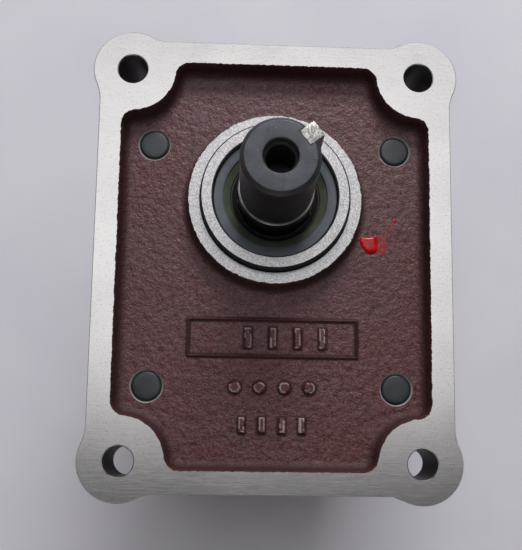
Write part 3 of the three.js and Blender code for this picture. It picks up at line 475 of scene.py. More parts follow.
class Shell:
    """One closed surface, grown loop by loop in millimetres. Each face has a material of its own."""

    def __init__(self):
        self.points, self.faces, self.finishes, self.materials = [], [], [], []
        # Shares for each point: painted shade, and pale edges that are partly worn bare and partly painted
        # highlight.
        self.paint_depth, self.wear_and_highlight = {}, {}

    def loop(self, points):
        start = len(self.points)
        self.points += [tuple(p) for p in points]
        return list(range(start, start + len(points)))

    def rings(self, profile, centre=(0, 0), steps=60):
        """A round loop about the centre for each (radius, z) of a profile."""
        return [self.loop(at_height(circle(*centre, radius, steps), z)) for radius, z in profile]

    def face(self, corners, material):
        if material not in self.materials:
            self.materials.append(material)
        self.faces.append(corners)
        self.finishes.append(self.materials.index(material))

    def strip(self, first, second, material):
        """Joins two loops with a band of faces."""
        for i in range(len(first)):
            j = (i + 1) % len(first)
            self.face((first[i], first[j], second[j], second[i]), material)

    def loft(self, loops, materials):
        """Joins loops of equal length in order. materials is one material, or one for each strip."""
        if not isinstance(materials, list):
            materials = [materials] * (len(loops) - 1)
        for first, second, material in zip(loops, loops[1:], materials):
            self.strip(first, second, material)

    def cap(self, loop, material):
        self.face(tuple(loop), material)

    def holes(self, places, profile, materials, steps):
        """Lines a round hole at each place and gives the holes' first loops and last loops."""
        holes = [self.rings(profile, place, steps) for place in places]
        for loops in holes:
            self.loft(loops, materials)
        return [loops[0] for loops in holes], [loops[-1] for loops in holes]

    def fill(self, outer, holes, material, extra=(), height=None):
        """Fills the space between an outer loop and holes, all anticlockwise. Extra (x, y) points take their
        z from height."""
        loops = [outer, *holes]
        indices = [i for loop in loops for i in loop]
        flat = [self.points[i][:2] for i in indices]
        edges, start = [], 0
        for loop in loops:
            edges += [(start + i, start + (i + 1) % len(loop)) for i in range(len(loop))]
            start += len(loop)
        extra = list(extra)
        added = self.loop([(x, y, height(x, y)) for x, y in extra])
        indices += added
        where = [Vector(p) for p in flat + extra]
        hole_places = {i: (number, at) for number, loop in enumerate(holes) for at, i in enumerate(loop)}

        def in_hole(corners):
            """A triangle is in a hole if its corners follow one another round the hole's own loop."""
            places = [hole_places.get(i, (-1, 0)) for i in corners]
            numbers = {number for number, _ in places}
            (_, a), (_, b), (_, c) = places
            return len(numbers) == 1 and -1 not in numbers and (a < b) + (b < c) + (c < a) == 2

        inside_outer_loop = 1
        _, _, triangles, origin, _, _ = delaunay_2d_cdt(where, edges, [], inside_outer_loop, 1e-6)
        for triangle in triangles:
            corners = tuple(indices[origin[i][0]] for i in triangle)
            if not in_hole(corners):
                self.face(corners, material)
        return added

    def mesh(self, name):
        mesh = bpy.data.meshes.new(name)
        mesh.from_pydata([(x * MM, y * MM, z * MM) for x, y, z in self.points], [], self.faces)
        for material in self.materials:
            mesh.materials.append(material)
        mesh.polygons.foreach_set("material_index", self.finishes)
        return mesh

    def build(self, name, body, replaces=None, sharp=35):
        mesh = self.mesh(name)
        for attribute, values in (("paint_depth", self.paint_depth), ("wear_and_highlight", self.wear_and_highlight)):
            layer = mesh.attributes.new(attribute, "FLOAT", "POINT")
            layer.data.foreach_set("value", [values.get(i, 0.0) for i in range(len(self.points))])
        present(mesh, name, body, replaces, sharp)


def present(mesh, name, body, replaces=None, sharp=35):
    """Puts a finished mesh in the scene: outward faces, smooth shading with sharp edges, on its body."""
    work = bmesh.new()
    work.from_mesh(mesh)
    bmesh.ops.remove_doubles(work, verts=work.verts, dist=1e-7)
    bmesh.ops.recalc_face_normals(work, faces=work.faces)
    work.to_mesh(mesh)
    work.free()
    mesh.shade_smooth()
    mesh.set_sharp_from_angle(angle=math.radians(sharp))
    piece = bpy.data.objects.new(name, mesh)
    bpy.context.scene.collection.objects.link(piece)
    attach(piece, body)
    if replaces:
        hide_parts(replaces)


def turned_to(axis, points):
    """Points drawn about Z, laid along the output shaft when axis is 'Y', or along X when it is 'X'."""
    if axis == "Y":
        return [(x, z, cross_z - y) for x, y, z in points]
    return [(z, x, y) for x, y, z in points] if axis == "X" else points


def softened(profile, radius):
    """A closed profile of (radius, height) with every corner cut back a little, so that it catches light."""
    points = []
    for i, corner in enumerate(profile):
        here = Vector(corner)
        back, ahead = Vector(profile[i - 1]) - here, Vector(profile[(i + 1) % len(profile)]) - here
        reach = min(radius, back.length * 0.4, ahead.length * 0.4)
        if here.x < 1e-6 or back.length < 1e-6 or ahead.length < 1e-6:
            points.append(tuple(here))
            continue
        first, last = here + back.normalized() * reach, here + ahead.normalized() * reach
        knee = (first + last) / 2 * 0.4 + here * 0.6
        points += [tuple(first), tuple(knee), tuple(last)]
    return points


def lathe(shell, profile, finish, axis, steps, centre=(0, 0)):
    """Turns a profile of (radius, height) into a ring, or into a rod if it starts and ends on the axis.
    finish is a material, or a function that picks one from a band's middle radius and height."""
    pick = finish if callable(finish) else lambda radius, height: finish
    cx, cy = centre
    edges = [(radius, height) for radius, height in profile if radius > 1e-6]
    loops = []
    for radius, height in edges:
        loops.append(shell.loop(turned_to(axis, at_height(circle(cx, cy, radius, steps), height))))
    for i in range(len(loops) - 1):
        radius, height = [(a + b) / 2 for a, b in zip(edges[i], edges[i + 1])]
        shell.strip(loops[i], loops[i + 1], pick(radius, height))
    if profile[0][0] < 1e-6:
        shell.cap(loops[0], pick(0, edges[0][1]))
        shell.cap(loops[-1][::-1], pick(0, edges[-1][1]))
    else:
        shell.strip(loops[-1], loops[0], pick(*edges[0]))


def rough(x, y, z, size, depth):
    """Unevenness of a casting: smooth noise with bumps of a given size and depth in millimetres."""
    return depth * noise.noise(Vector((x, y, z)) / size)


# Front housing ------------------------------------------------------------------------------------

bar_y, pip_y, low_bar_y = -56, -76, -91


def mark_distances(x, y):
    """Distances outside the foundry's low cast frame and outside its marks: bars, pips and short bars."""
    def box(cx, cy, half_x, half_y):
        dx, dy = abs(x - cx) - half_x, abs(y - cy) - half_y
        return math.hypot(max(dx, 0), max(dy, 0)) + min(max(dx, dy), 0)
    frame_line = abs(box(0, bar_y, 34, 7.5)) - 0.2
    bars = [box(cx, bar_y, 1.2, 4) for cx in (-10, 0, 10, 20)]
    pips = [math.hypot(x - cx, y - pip_y) - 2.2 for cx in (-15, -5, 5, 15)]
    low_bars = [box(cx, low_bar_y, 1.1, 3) for cx in (-12, -4, 4, 12)]
    return frame_line, min(*bars, *pips, *low_bars)


def marked(x, y):
    """Whether a place is on the stretch of floor that holds the frame and the marks."""
    return abs(x) < 37 and low_bar_y - 5 < y < bar_y + 11


def floor_height(x, y):
    """The recess floor: a rough casting with the frame and the marks raised on it."""
    height = floor_z + rough(x, y, 3, 3.4, 0.16) + rough(x, y, 9, 1.4, 0.06)
    if marked(x, y):
        for out, relief in zip(mark_distances(x, y), (1.0, 1.4)):
            share = min(max((0.5 - out) / 0.8, 0), 1)
            height += relief * share * share * (3 - 2 * share)
    return height


def grid_points(outline, spacing, keep_out):
    """A grid of (x, y) points inside an outline and outside the circles of keep_out, finer on the marks."""
    outline = np.asarray(outline)
    low_corner, high_corner = outline.min(0), outline.max(0)

    def grid(step):
        xs = np.arange(low_corner[0] + step / 2, high_corner[0], step)
        ys = np.arange(low_corner[1] + step / 2, high_corner[1], step)
        points = np.stack(np.meshgrid(xs, ys), -1).reshape(-1, 2)
        return points[inside(points, outline)]
    points = [p for p in grid(spacing) if not marked(*p)] + [p for p in grid(0.45) if marked(*p)]
    for x, y, radius in keep_out:
        points = [p for p in points if math.hypot(p[0] - x, p[1] - y) > radius]
    return [tuple(p) for p in points]


def uneven(outline, z, size, depth, seeds=None):
    """An outline at a height, with its points moved by noise that changes with height or has fixed seeds."""
    seed_x, seed_y = seeds or (z, z)
    points = []
    for x, y in outline:
        points.append((x + rough(x, y, seed_x, size, depth), y + rough(y, x, seed_y, size, depth), z))
    return points


def front_housing():
    shell = Shell()

    # Outer side, from the rim down to the rear face.
    def side(outset, z, depth=0.0):
        return shell.loop(uneven(ear_outline(outset), z, 3, depth))
    edge = side(-0.35, rim_z)
    levels = [side(0, rim_z - 0.4)]
    levels += [side(-0.01 * drop, rim_z - drop, 0.22) for drop in (1.2, 3, 6, 9, 12, 15, 18, 21, 24)]
    corner = 2
    for angle in (0, 0.5, 1.0, math.pi / 2):
        outset = -0.3 - corner * (1 - math.cos(angle))
        levels.append(side(outset, joint_z + corner - corner * math.sin(angle)))
    shell.loft([edge, *levels], [RIM, RIM] + [PRIMER] * (len(levels) - 2))

    # Bolt holes right through.
    radius = flange["hole_radius"]
    profile = [
        (radius + 0.35, rim_z), (radius, rim_z - 0.35), (radius, joint_z + 0.4), (radius + 0.4, joint_z),
    ]
    tops, bottoms = shell.holes(flange_holes, profile, [RIM, DRILLED, DRILLED], 48)

    # Recess wall with its draft and floor fillet. Its edge is rough, and below the rim the wall and fillet
    # are darkened as painted shade.
    def wall(inset, z, depth):
        return shell.loop(uneven(recess_outline(inset), z, 0.9, depth, (5, 7)))

    # Gives loops a share of painted shade, darkest down in the fillet.
    def painted(loops, shade_levels):
        for loop, depth in zip(loops, shade_levels):
            shell.paint_depth.update(dict.fromkeys(loop, depth))
    walls = [wall(0, rim_z, 0.35), wall(0.12, rim_z - 0.25, 0.4), wall(0.3, rim_z - 1.2, 0.25)]
    draft, fillet, fillet_steps = 0.7, recess["fillet"], 6
    for i in range(fillet_steps + 1):
        angle = math.pi / 2 * i / fillet_steps
        inset = draft + fillet * (1 - math.cos(angle))
        walls.append(wall(inset, floor_z + fillet * (1 - math.sin(angle)), 0.1 if i else 0.2))
    shell.loft(walls, [RIM] + [PRIMER] * (len(walls) - 2))
    painted(walls[2:], (0.5, 0.7, 0.85, 0.9, 0.8, 0.6, 0.35, 0.15))

    # Boss: cast foot, turned ring, spigot, then the bore down through the bearing hub.
    boss_steps = 300

    def cast_ring(radius, z, depth):
        return shell.loop(uneven(circle(0, 0, radius, boss_steps), z, 0.8, depth))
    foot, fillet, fillet_steps = [], boss["fillet"], 5
    for i in range(fillet_steps + 1):
        angle = math.pi / 2 * i / fillet_steps
        radius = boss["radius"] + fillet * (1 - math.sin(angle))
        foot.append(cast_ring(radius, floor_z + fillet * (1 - math.cos(angle)), 0.1))
    # The boss's foot fillet is darkened as painted shade.
    painted(foot, (0.1, 0.5, 0.9, 0.9, 0.7, 0.4))
    turned_ring = [(boss["radius"] + 0.1, rim_z - 0.5), (boss["radius"] - 0.1, rim_z)]
    boss_loops = foot + [cast_ring(radius, z, 0.42) for radius, z in turned_ring]
    spigot, chamfer, undercut = boss["spigot"], boss["chamfer"], boss["undercut"]
    seal_bore, rib, bearing, hub = 25.15, 22, 26.15, bearing_hub_radius
    groove_radius, groove_width = bearing + 1.4, 1.8
    seal_seat = low("input_seal").z - 0.1
    bearing_stop = high("input_front_bearing_outer_race").z + 0.1
    groove = low("input_bearing_retaining_ring").z - 0.2
    pocket_z = joint_z + 10
    boss_loops += shell.rings([
        (undercut + 0.15, rim_z), (undercut, rim_z - 0.6), (spigot, rim_z - 0.6),
        (spigot, spigot_z - chamfer), (spigot - chamfer, spigot_z),
        (seal_bore + 0.4, spigot_z), (seal_bore, spigot_z - 0.4), (seal_bore, seal_seat),
        (rib, seal_seat), (rib, bearing_stop), (bearing, bearing_stop),
        (bearing, groove + groove_width), (groove_radius, groove + groove_width),
        (groove_radius, groove), (bearing, groove),
        (bearing, hub_end_z + 0.6), (bearing + 0.6, hub_end_z),
        (hub - 0.5, hub_end_z), (hub, hub_end_z + 0.5), (hub, pocket_z - 0.5), (hub + 0.5, pocket_z),
    ], steps=boss_steps)
    # The undercut groove and the spigot's side and top chamfer are painted near-black as painted shade.
    finishes = [PRIMER] * 6 + [TURNED] * 2 + [SPIGOT_SIDE_SHADE] * 4 + [TURNED] * 2 + [BORE] * 14 + [PRIMER] * 2
    shell.loft(boss_loops, finishes)

    # Tapped holes with a bare chamfer, through to the joint face.
    radius = screw_radius + fit
    profile = [
        (radius + 0.6, floor_z), (radius, floor_z - 0.6), (radius, joint_z + 0.5), (radius + 0.5, joint_z),
    ]
    tapped_tops, tapped_bottoms = shell.holes(screw_places, profile, [CHAMFER, DRILLED, DRILLED], 48)

    # Flat faces: rim, recess floor, pocket behind, machined joint land and the cast rear of the flange.
    shell.fill(edge, [walls[0], *tops], RIM)
    spacing = 0.62
    keep_out = [(0, 0, boss["radius"] + fillet + 0.4)]
    keep_out += [(x, y, screw_radius + 1.5) for x, y in screw_places]
    points = grid_points(recess_outline(recess["fillet"] + draft + 0.12), spacing, keep_out)
    for index in shell.fill(walls[-1], [foot[0], *tapped_tops], PRIMER, points, floor_height):
        x, y, _ = shell.points[index]
        if marked(x, y):
            frame_out, out = mark_distances(x, y)
            # Round the marks: pale edges, partly worn paint and partly painted highlight, then a band of
            # painted shade just outside.
            edge_worn_and_lit = -0.5 < out < 0.0 and noise.noise(Vector((x, y, 0)) / 2.5) > -0.1
            shell.wear_and_highlight[index] = 0.75 if edge_worn_and_lit else 0.0
            shell.paint_depth[index] = 0.85 if 0.1 < min(out, frame_out + 0.2) < 1.1 else 0.0
    pocket = rounded_polygon(case_corners(gear_case["wall"]), 5)
    pocket_top = shell.loop(at_height(rounded_polygon(case_corners(gear_case["wall"] + 0.3), 5), pocket_z))
    pocket_side, pocket_mouth = [shell.loop(at_height(pocket, z)) for z in (pocket_z - 2, joint_z)]
    shell.fill(pocket_top, [boss_loops[-1]], PRIMER)
    shell.loft([pocket_top, pocket_side, pocket_mouth], PRIMER)
    land = shell.loop(at_height(joint_outline(1.2), joint_z))
    shell.fill(land, [pocket_mouth, *tapped_bottoms], RIM)
    shell.fill(levels[-1], [land, *bottoms], PRIMER)
    shell.build("front_housing_casting", "housing", "front_housing")


# Gear case ----------------------------------------------------------------------------------------

def helper_object(mesh):
    """An object that is cut with or joined, and removed afterwards."""
    piece = bpy.data.objects.new("helper", mesh)
    bpy.context.scene.collection.objects.link(piece)
    return piece


def helper(shell):
    """A shell as a helper object, with all its faces outward."""
    mesh = shell.mesh("helper")
    work = bmesh.new()
    work.from_mesh(mesh)
    bmesh.ops.recalc_face_normals(work, faces=work.faces)
    work.to_mesh(mesh)
    work.free()
    return helper_object(mesh)


def prism(outline, bottom, top, material):
    shell = Shell()
    lower, upper = shell.loop(at_height(outline, bottom)), shell.loop(at_height(outline, top))
    shell.strip(lower, upper, material)
    shell.cap(lower, material)
    shell.cap(upper[::-1], material)
    return helper(shell)


def rod(radius, start, end, material, axis, centre=(0, 0), steps=64):
    """A rod along an axis. For a rod along X, centre is its Y and Z."""
    shell = Shell()
    lathe(shell, [(0, start), (radius, start), (radius, end), (0, end)], material, axis, steps, centre)
    return helper(shell)


def applied(piece):
    """The piece's mesh with its modifiers applied. The piece itself is removed."""
    depsgraph = bpy.context.evaluated_depsgraph_get()
    mesh = bpy.data.meshes.new_from_object(piece.evaluated_get(depsgraph))
    bpy.data.objects.remove(piece)
    return mesh


def combined(piece, operation, others):
    """A helper's mesh with other helpers joined to it or cut out of it. Each face keeps its own material."""
    for other in others:
        step = piece.modifiers.new("step", "BOOLEAN")
        step.operation = operation
        step.solver = "EXACT"
        step.material_mode = "TRANSFER"
        step.object = other
    mesh = applied(piece)
    for other in others:
        bpy.data.objects.remove(other)
    return mesh


def machined_out(piece, cutters):
    """Cuts helpers, which may overlap, out of a helper and gives its mesh."""
    first, *others = cutters
    return combined(piece, "DIFFERENCE", [helper_object(combined(first, "UNION", others))])


def cast_blank(solids, voxel, smoothing):
    """Melts overlapping helpers into one casting, with rounded corners and a fillet where they meet."""
    work = bmesh.new()
    for solid in solids:
        work.from_mesh(solid.data)
        bpy.data.objects.remove(solid)
    mesh = bpy.data.meshes.new("helper")
    work.to_mesh(mesh)
    work.free()
    piece = helper_object(mesh)
    remesh = piece.modifiers.new("remesh", "REMESH")
    remesh.mode = "VOXEL"
    remesh.voxel_size = voxel * MM
    smooth = piece.modifiers.new("smooth", "SMOOTH")
    smooth.factor = 0.5
    smooth.iterations = smoothing
    mesh = applied(piece)
    mesh.materials.append(PRIMER)
    return mesh


def plug_place(node):
    """Side of the case (+1 or -1) and (y, z) of a plug's axis."""
    return math.copysign(1, middle(node).x), middle(node).yz


def main_housing():
    past, beyond, far, below = 4, 80, 200, -20
    blind_face, drive_face = -88, 66
    plate_bottom = case_top_z - joint_plate["thickness"]
    foot_top = case_bottom_z + 12
    pad_face, pad_radius = gear_case["half_width"] + 2, 12
    solids = [
        prism(rounded_polygon(case_corners(0), 7), case_bottom_z - past, case_top_z + past, PRIMER),
        prism(joint_outline(0), plate_bottom, case_top_z + past, PRIMER),
        prism(rounded_polygon(case_corners(-flange_outset), 7), case_bottom_z - past, foot_top, PRIMER),
        rod(hub_radius, blind_face - past, 0, PRIMER, "Y"),
        rod(hub_radius, 0, drive_face + past, PRIMER, "Y"),
    ]
    for node in plugs:
        side, place = plug_place(node)
        solids.append(rod(pad_radius, side * 40, side * (pad_face + 2), PRIMER, "X", place, 48))
    blank = cast_blank(solids, 0.9, 10)

    def cutting_block(y_from, y_to, bottom, top):
        return prism([(-far, y_from), (far, y_from), (far, y_to), (-far, y_to)], bottom, top, RIM)
    faces = [
        cutting_block(-far, far, case_top_z, far), cutting_block(-far, far, below, case_bottom_z),
        cutting_block(drive_face, far, below, far), cutting_block(-far, blind_face, below, plate_bottom - 4),
    ]
    for side in (1, -1):
        places = [plug_place(node)[1] for node in plugs if plug_place(node)[0] == side]
        for place in places:
            faces.append(rod(pad_radius + 1.5, side * pad_face, side * beyond, RIM, "X", place, 48))
    cavity = prism(rounded_polygon(case_corners(gear_case["wall"]), 5), -10, far, PRIMER)
    shaft_bore, bearing_bore, ring_groove = 26, 31.15, (56.4, 58.6)
    bores = [
        rod(shaft_bore, -74, 60, BORE, "Y"),
        rod(bearing_bore, low("output_drive_bearing_outer_race").y - 0.1, beyond, BORE, "Y"),
        rod(bearing_bore + 1.5, *ring_groove, BORE, "Y"),
        rod(bearing_bore, -100, high("output_blind_bearing_outer_race").y + 0.1, BORE, "Y"),
    ]
    screw_hole = screw_radius + 0.5
    holes = [rod(screw_hole, plate_bottom - 3, far, DRILLED, "Z", place, 32) for place in screw_places]
    holes += [rod(cover_screw_hole, 0, 22, DRILLED, "Z", place, 24) for place in cover_screw_places]
    holes += [rod(cap_screw_hole, -100, -70, DRILLED, "Y", place, 24) for place in cap_screw_places]
    for node in plugs:
        side, place = plug_place(node)
        holes.append(rod(plug_bore, side * 34, side * beyond, DRILLED, "X", place, 48))
    mesh = blank
    for group in (faces, [cavity], bores, holes):
        mesh = machined_out(helper_object(mesh), group)
    present(mesh, "main_housing_casting", "housing", "main_housing")


# Flat pieces --------------------------------------------------------------------------------------

def rear_cover():
    """The cover that the gearbox stands on, with a countersunk hole for each screw."""
    shell = Shell()
    top = high("rear_cover").z

    def outer(inset):
        return rounded_polygon(case_corners(-flange_outset + inset), max(7 - inset, 1))
    profile = [(0.35, 0), (0.1, 0.15), (0, 0.5), (0, top - 0.4), (0.3, top)]
    loops = [shell.loop(at_height(outer(inset), z)) for inset, z in profile]
    shell.loft(loops, PRIMER)
    sink = [(6.6, 0), (6.5, 0.1), (6.5, 0.5), (3.4, 3.6), (3.4, top)]
    lower, upper = shell.holes(cover_screw_places, sink, [RIM, DRILLED, DRILLED, DRILLED], 40)
    shell.fill(loops[0], lower, RIM)
    shell.fill(loops[-1], upper, RIM)
    shell.build("rear_cover_plate", "housing", "rear_cover")


def gasket(node, outer, hole_outlines):
    """A gasket with softened edges. outer gives its outline for an outset."""
    bottom, top, soft = low(node).z, high(node).z, 0.15
    shell = Shell()
    levels = [(-soft, bottom), (0, bottom + soft), (0, top - soft), (-soft, top)]
    loops = [shell.loop(at_height(outer(outset), z)) for outset, z in levels]
    shell.loft(loops, GASKET)
    bottoms, tops = [], []
    for outline in hole_outlines:
        lower, upper = shell.loop(at_height(outline, bottom)), shell.loop(at_height(outline, top))
        shell.strip(lower, upper, GASKET)
        bottoms.append(lower)
        tops.append(upper)
    shell.fill(loops[0], bottoms, GASKET)
    shell.fill(loops[-1], tops, GASKET)
    shell.build(f"{node}_sheet", "housing", node)


def gaskets():
    cavity = rounded_polygon(case_corners(gear_case["wall"]), 5)
    screw_holes = [circle(x, y, screw_radius + 0.5, 32) for x, y in screw_places]
    cover_holes = [circle(x, y, cover_screw_hole, 24) for x, y in cover_screw_places]
    gasket("flange_gasket", joint_outline, [cavity, *screw_holes])

    def foot_outline(outset):
        return rounded_polygon(case_corners(-flange_outset - outset), 7)
    gasket("rear_gasket", foot_outline, [cavity, *cover_holes])


# Screws and plugs ---------------------------------------------------------------------------------

def hexagon_loop(shell, centre, across_flats, z, limit=math.inf):
    """A hexagon with each side in ten steps, drawn in wherever it passes the limiting radius."""
    cx, cy = centre
    reach = across_flats / math.sqrt(3)
    corners = [(reach * math.cos(TURN * i / 6), reach * math.sin(TURN * i / 6)) for i in range(6)]
    points = []
    for start, end in zip(corners, corners[1:] + corners[:1]):
        points += [start, *between(start, end, 10)]
    loop = []
    for x, y in points:
        shrink = min(1.0, limit / math.hypot(x, y))
        loop.append((cx + x * shrink, cy + y * shrink, z))
    return shell.loop(loop)


def hexagon_head(shell, centre, across_flats, seat_z, outside, material):
    """A hexagon head from its seat to its outer face, which has the usual round chamfer. Gives the seat."""
    cx, cy = centre
    flat = across_flats / 2
    inward = math.copysign(1, seat_z - outside)
    seat = hexagon_loop(shell, centre, across_flats, seat_z, flat * 1.06)
    loops = [seat, hexagon_loop(shell, centre, across_flats, seat_z - inward * 0.5, flat * 1.14)]
    for share in (0.0, 0.35, 0.7, 1.0):
        limit = flat * (1.155 - 0.195 * share)
        depth = (1 - share) * flat * 0.11
        loops.append(hexagon_loop(shell, centre, across_flats, outside + inward * depth, limit))
    shell.loft(loops, material)
    rim = [shell.points[index] for index in loops[-1]]
    dish = shell.loop([(cx + (x - cx) * 0.93, cy + (y - cy) * 0.93, outside) for x, y, _ in rim])
    shell.strip(loops[-1], dish, material)
    shell.cap(dish, material)
    return seat


def housing_screws():
    head_top = case_top_z - joint_plate["thickness"] - 0.1
    thread_start, pitch = head_top + 12, 1.75
    for number in range(1, len(screw_places) + 1):
        node = f"housing_screw_{number}"
        centre, end = middle(node).xy, high(node).z
        shell = Shell()
        seat = hexagon_head(shell, centre, 18, head_top, low(node).z, SCREW)
        profile = [(screw_radius, head_top), (screw_radius, thread_start)]
        for turn in range(int((end - 1.2 - thread_start) / pitch)):
            base = thread_start + turn * pitch
            for inset, height in ((0, 0.2), (0.8, 0.9), (0, 1.6)):
                profile.append((screw_radius - inset, base + height))
        for inset, drop in ((0, 0.9), (0.3, 0.35), (0.6, 0.1), (0.95, 0.02)):
            profile.append((screw_radius - inset, end - drop))
        rings = shell.rings([*profile, (2.6, end)], centre)
        shell.fill(seat, [rings[0]], SCREW)
        shell.loft(rings, SCREW)
        shell.cap(rings[-1], SCREW)
        shell.build(f"{node}_body", "housing", node)


def socket_screw(node, axis, centre, socket_depth, profile):
    """A screw with a hexagon socket, turned from a profile of (radius, height) from its outer face on."""
    shell = Shell()
    across_flats, outside = 4, profile[0][1]
    mouth, = shell.rings([(across_flats / math.sqrt(3) + 0.35, outside)], centre)
    edge = hexagon_loop(shell, centre, across_flats, outside + 0.25)
    bottom = hexagon_loop(shell, centre, across_flats, outside + socket_depth)
    shell.loft([mouth, edge, bottom], SCREW)
    shell.cap(bottom, SCREW)
    rings = shell.rings(profile, centre)
    shell.fill(rings[0], [mouth], SCREW)
    shell.loft(rings, SCREW)
    shell.cap(rings[-1], SCREW)
    shell.points = turned_to(axis, shell.points)
    shell.build(f"{node}_body", "housing", node)


def socket_screws():
    for node, place in zip(cover_screws, cover_screw_places):
        face, end = low(node).z, high(node).z
        head = [(5.8, face), (6, face + 0.2), (6, face + 0.4), (3, face + 3.4)]
        socket_screw(node, "Z", place, 2.6, [*head, (3, end - 0.7), (2.4, end)])
    seat = low("end_cap").y - 0.1
    for node, place in zip(cap_screws, cap_screw_places):
        face, end = low(node).y, high(node).y
        head = [(3.8, face), (4.25, face + 0.45), (4.25, seat - 0.2), (4.05, seat)]
        socket_screw(node, "Y", place, 2.5, [*head, (2.5, seat), (2.5, end - 0.6), (2.1, end)])


def plug(node):
    """A hexagon plug in the side of the case, and its copper washer."""
    side, (y, z) = plug_place(node)
    outside = high(node).x if side > 0 else -low(node).x
    washer = f"{node}_washer"
    washer_low = min(abs(low(washer).x), abs(high(washer).x))
    washer_high = washer_low + 1.5
    collar = washer_high + 0.1

    def onto_side(points):
        return [(side * height, y + py, z + px) for px, py, height in points]
    shell = Shell()
    rings = shell.rings([
        (6.8, 45.2), (8, 46.4), (8, collar), (10.7, collar), (11, collar + 0.3), (11, collar + 1.6),
        (10.6, collar + 2),
    ])
    shell.cap(rings[0], ZINC)
    shell.loft(rings, ZINC)
    seat = hexagon_head(shell, (0, 0), 17, collar + 2, outside, ZINC)
    shell.fill(rings[-1], [seat], ZINC)
    shell.points = onto_side(shell.points)
    shell.build(f"{node}_body", "housing", node)

    shell = Shell()
    inner, outer = plug_bore, 11
    profile = [(inner, washer_low), (outer, washer_low), (outer, washer_high), (inner, washer_high)]
    lathe(shell, softened(profile, 0.5), COPPER, "Z", 60)
    shell.points = onto_side(shell.points)
    shell.build(f"{washer}_ring", "housing", washer)


# Shafts and keys ----------------------------------------------------------------------------------

key_size, key_length = 6.35, 32
shaft_end = {"radius": 14.2875, "length": 34.9, "chamfer": 1.55}
key_inner = shaft_end["radius"] - 3.85
input_key_angle = math.radians(38)
seal_journal = 15.08


def key_slot(tip, angle, axis):
    """A helper that cuts the slot for a key, open at the shaft's tip."""
    half = key_size / 2 + fit
    start = tip - key_length - fit
    shell = Shell()

    def section(radius):
        points = []
        for across, z in ((half, tip + 1), (-half, tip + 1), (-half, start), (half, start)):
            x = radius * math.cos(angle) - across * math.sin(angle)
            y = radius * math.sin(angle) + across * math.cos(angle)
            points.append((x, y, z))
        return shell.loop(points)
    lower, upper = section(key_inner - fit), section(20)
    shell.strip(lower, upper, DRILLED)
    shell.cap(lower, DRILLED)
    shell.cap(upper[::-1], DRILLED)
    shell.points = turned_to(axis, shell.points)
    return helper(shell)


def centre_hole(tip):
    """The tip's face and its drilled hole for a retaining screw, as (radius, height) from the outside in."""
    radius, chamfer, bore = shaft_end["radius"], shaft_end["chamfer"], 6.25
    return [
        (radius, tip - chamfer), (radius - chamfer, tip), (bore + 0.35, tip), (bore, tip - 0.35),
        (bore, tip - 3), (bore - 1, tip - 4), (bore - 1, tip - 21), (0, tip - 24),
    ]


def shaft(name, node, body, profile, tip, axis, angle, journal):
    """A turned shaft with its key slot cut. profile runs from the hidden end to the shoulder, and journal is
    the ground length that the lip seal runs on."""
    def finish(radius, height):
        if height > tip - 0.1 and radius > 6:
            return TIP
        if height > tip - 25 and radius < 6.5:
            return DRILLED
        # The shoulder's bright band is partly bare steel and partly painted highlight; the journal below it
        # is painted near-black as painted shade.
        if abs(height - journal[1]) < 0.45:
            return SHOULDER_WEAR_AND_HIGHLIGHT
        if height > journal[1]:
            return BLACKENED
        return JOURNAL_SHADE if height > journal[0] else GROUND
    shell = Shell()
    lathe(shell, softened(profile + centre_hole(tip), 0.22), finish, axis, 128)
    mesh = machined_out(helper(shell), [key_slot(tip, angle, axis)])
    present(mesh, name, body, node, 30)


def input_shaft():
    shoulder = input_tip - shaft_end["length"]
    end, ring = low("input_shaft").z, low("pinion_retaining_ring").z - 0.2
    bearing_seat = low("input_rear_bearing_inner_race").z - 0.1
    bearing_top = high("input_front_bearing_inner_race").z + 0.1
    thin, thick, groove = 9.85, 12.35, 8.85
    profile = [
        (0, end), (thin, end), (thin, ring), (groove, ring), (groove, ring + 1.5), (thin, ring + 1.5),
        (thin, bearing_seat), (thick, bearing_seat), (thick, bearing_top), (seal_journal, bearing_top),
        (seal_journal, shoulder - 0.45), (seal_journal - 0.45, shoulder), (shaft_end["radius"], shoulder),
    ]
    journal = (bearing_top, shoulder - 0.1)
    angle = input_key_angle
    shaft("input_shaft_body", "input_shaft", "input_rotor", profile, input_tip, "Z", angle, journal)


def output_shaft():
    shoulder = output_tip - 40
    end, ring = low("output_shaft").y, low("output_shaft_retaining_ring").y - 0.1
    gear_shoulder = high("crown_gear").y - 4
    bearing_seat = low("output_drive_bearing_inner_race").y - 0.2
    seal_from = low("output_seal").y - 1
    thin, thick, groove = 14.85, 18, 13.85
    profile = [
        (0, end), (thin, end), (thin, ring), (groove, ring), (groove, ring + 1.6), (thin, ring + 1.6),
        (thin, gear_shoulder), (thick, gear_shoulder), (thick, bearing_seat), (thin, bearing_seat),
        (thin, seal_from), (15, seal_from), (15, shoulder - 0.4), (14.6, shoulder),
        (shaft_end["radius"], shoulder),
    ]
    journal = (seal_from, shoulder - 0.1)
    shaft("output_shaft_body", "output_shaft", "output_rotor", profile, output_tip, "Y", 0, journal)


def key_bar(name, node, body, tip, angle, axis):
    """A square key with broken edges, in its slot and flush with the shaft's tip."""
    mesh = bpy.data.meshes.new(name)
    work = bmesh.new()
    bmesh.ops.create_cube(work, size=1)
    bmesh.ops.scale(work, verts=work.verts, vec=(key_size * MM, key_size * MM, key_length * MM))
    bmesh.ops.bevel(work, geom=work.edges[:], offset=0.35 * MM, segments=2, affect="EDGES", profile=0.6)
    place = Vector((key_inner + key_size / 2, 0, tip - key_length / 2)) * MM
    bmesh.ops.translate(work, verts=work.verts, vec=place)
    bmesh.ops.rotate(work, verts=work.verts, matrix=Matrix.Rotation(angle, 3, "Z"))
    for vertex in work.verts:
        vertex.co = Vector(turned_to(axis, [tuple(vertex.co / MM)])[0]) * MM
    work.to_mesh(mesh)
    work.free()
    mesh.materials.append(KEY)
    present(mesh, name, body, node)


# Seals, end cap and paint mark --------------------------------------------------------------------

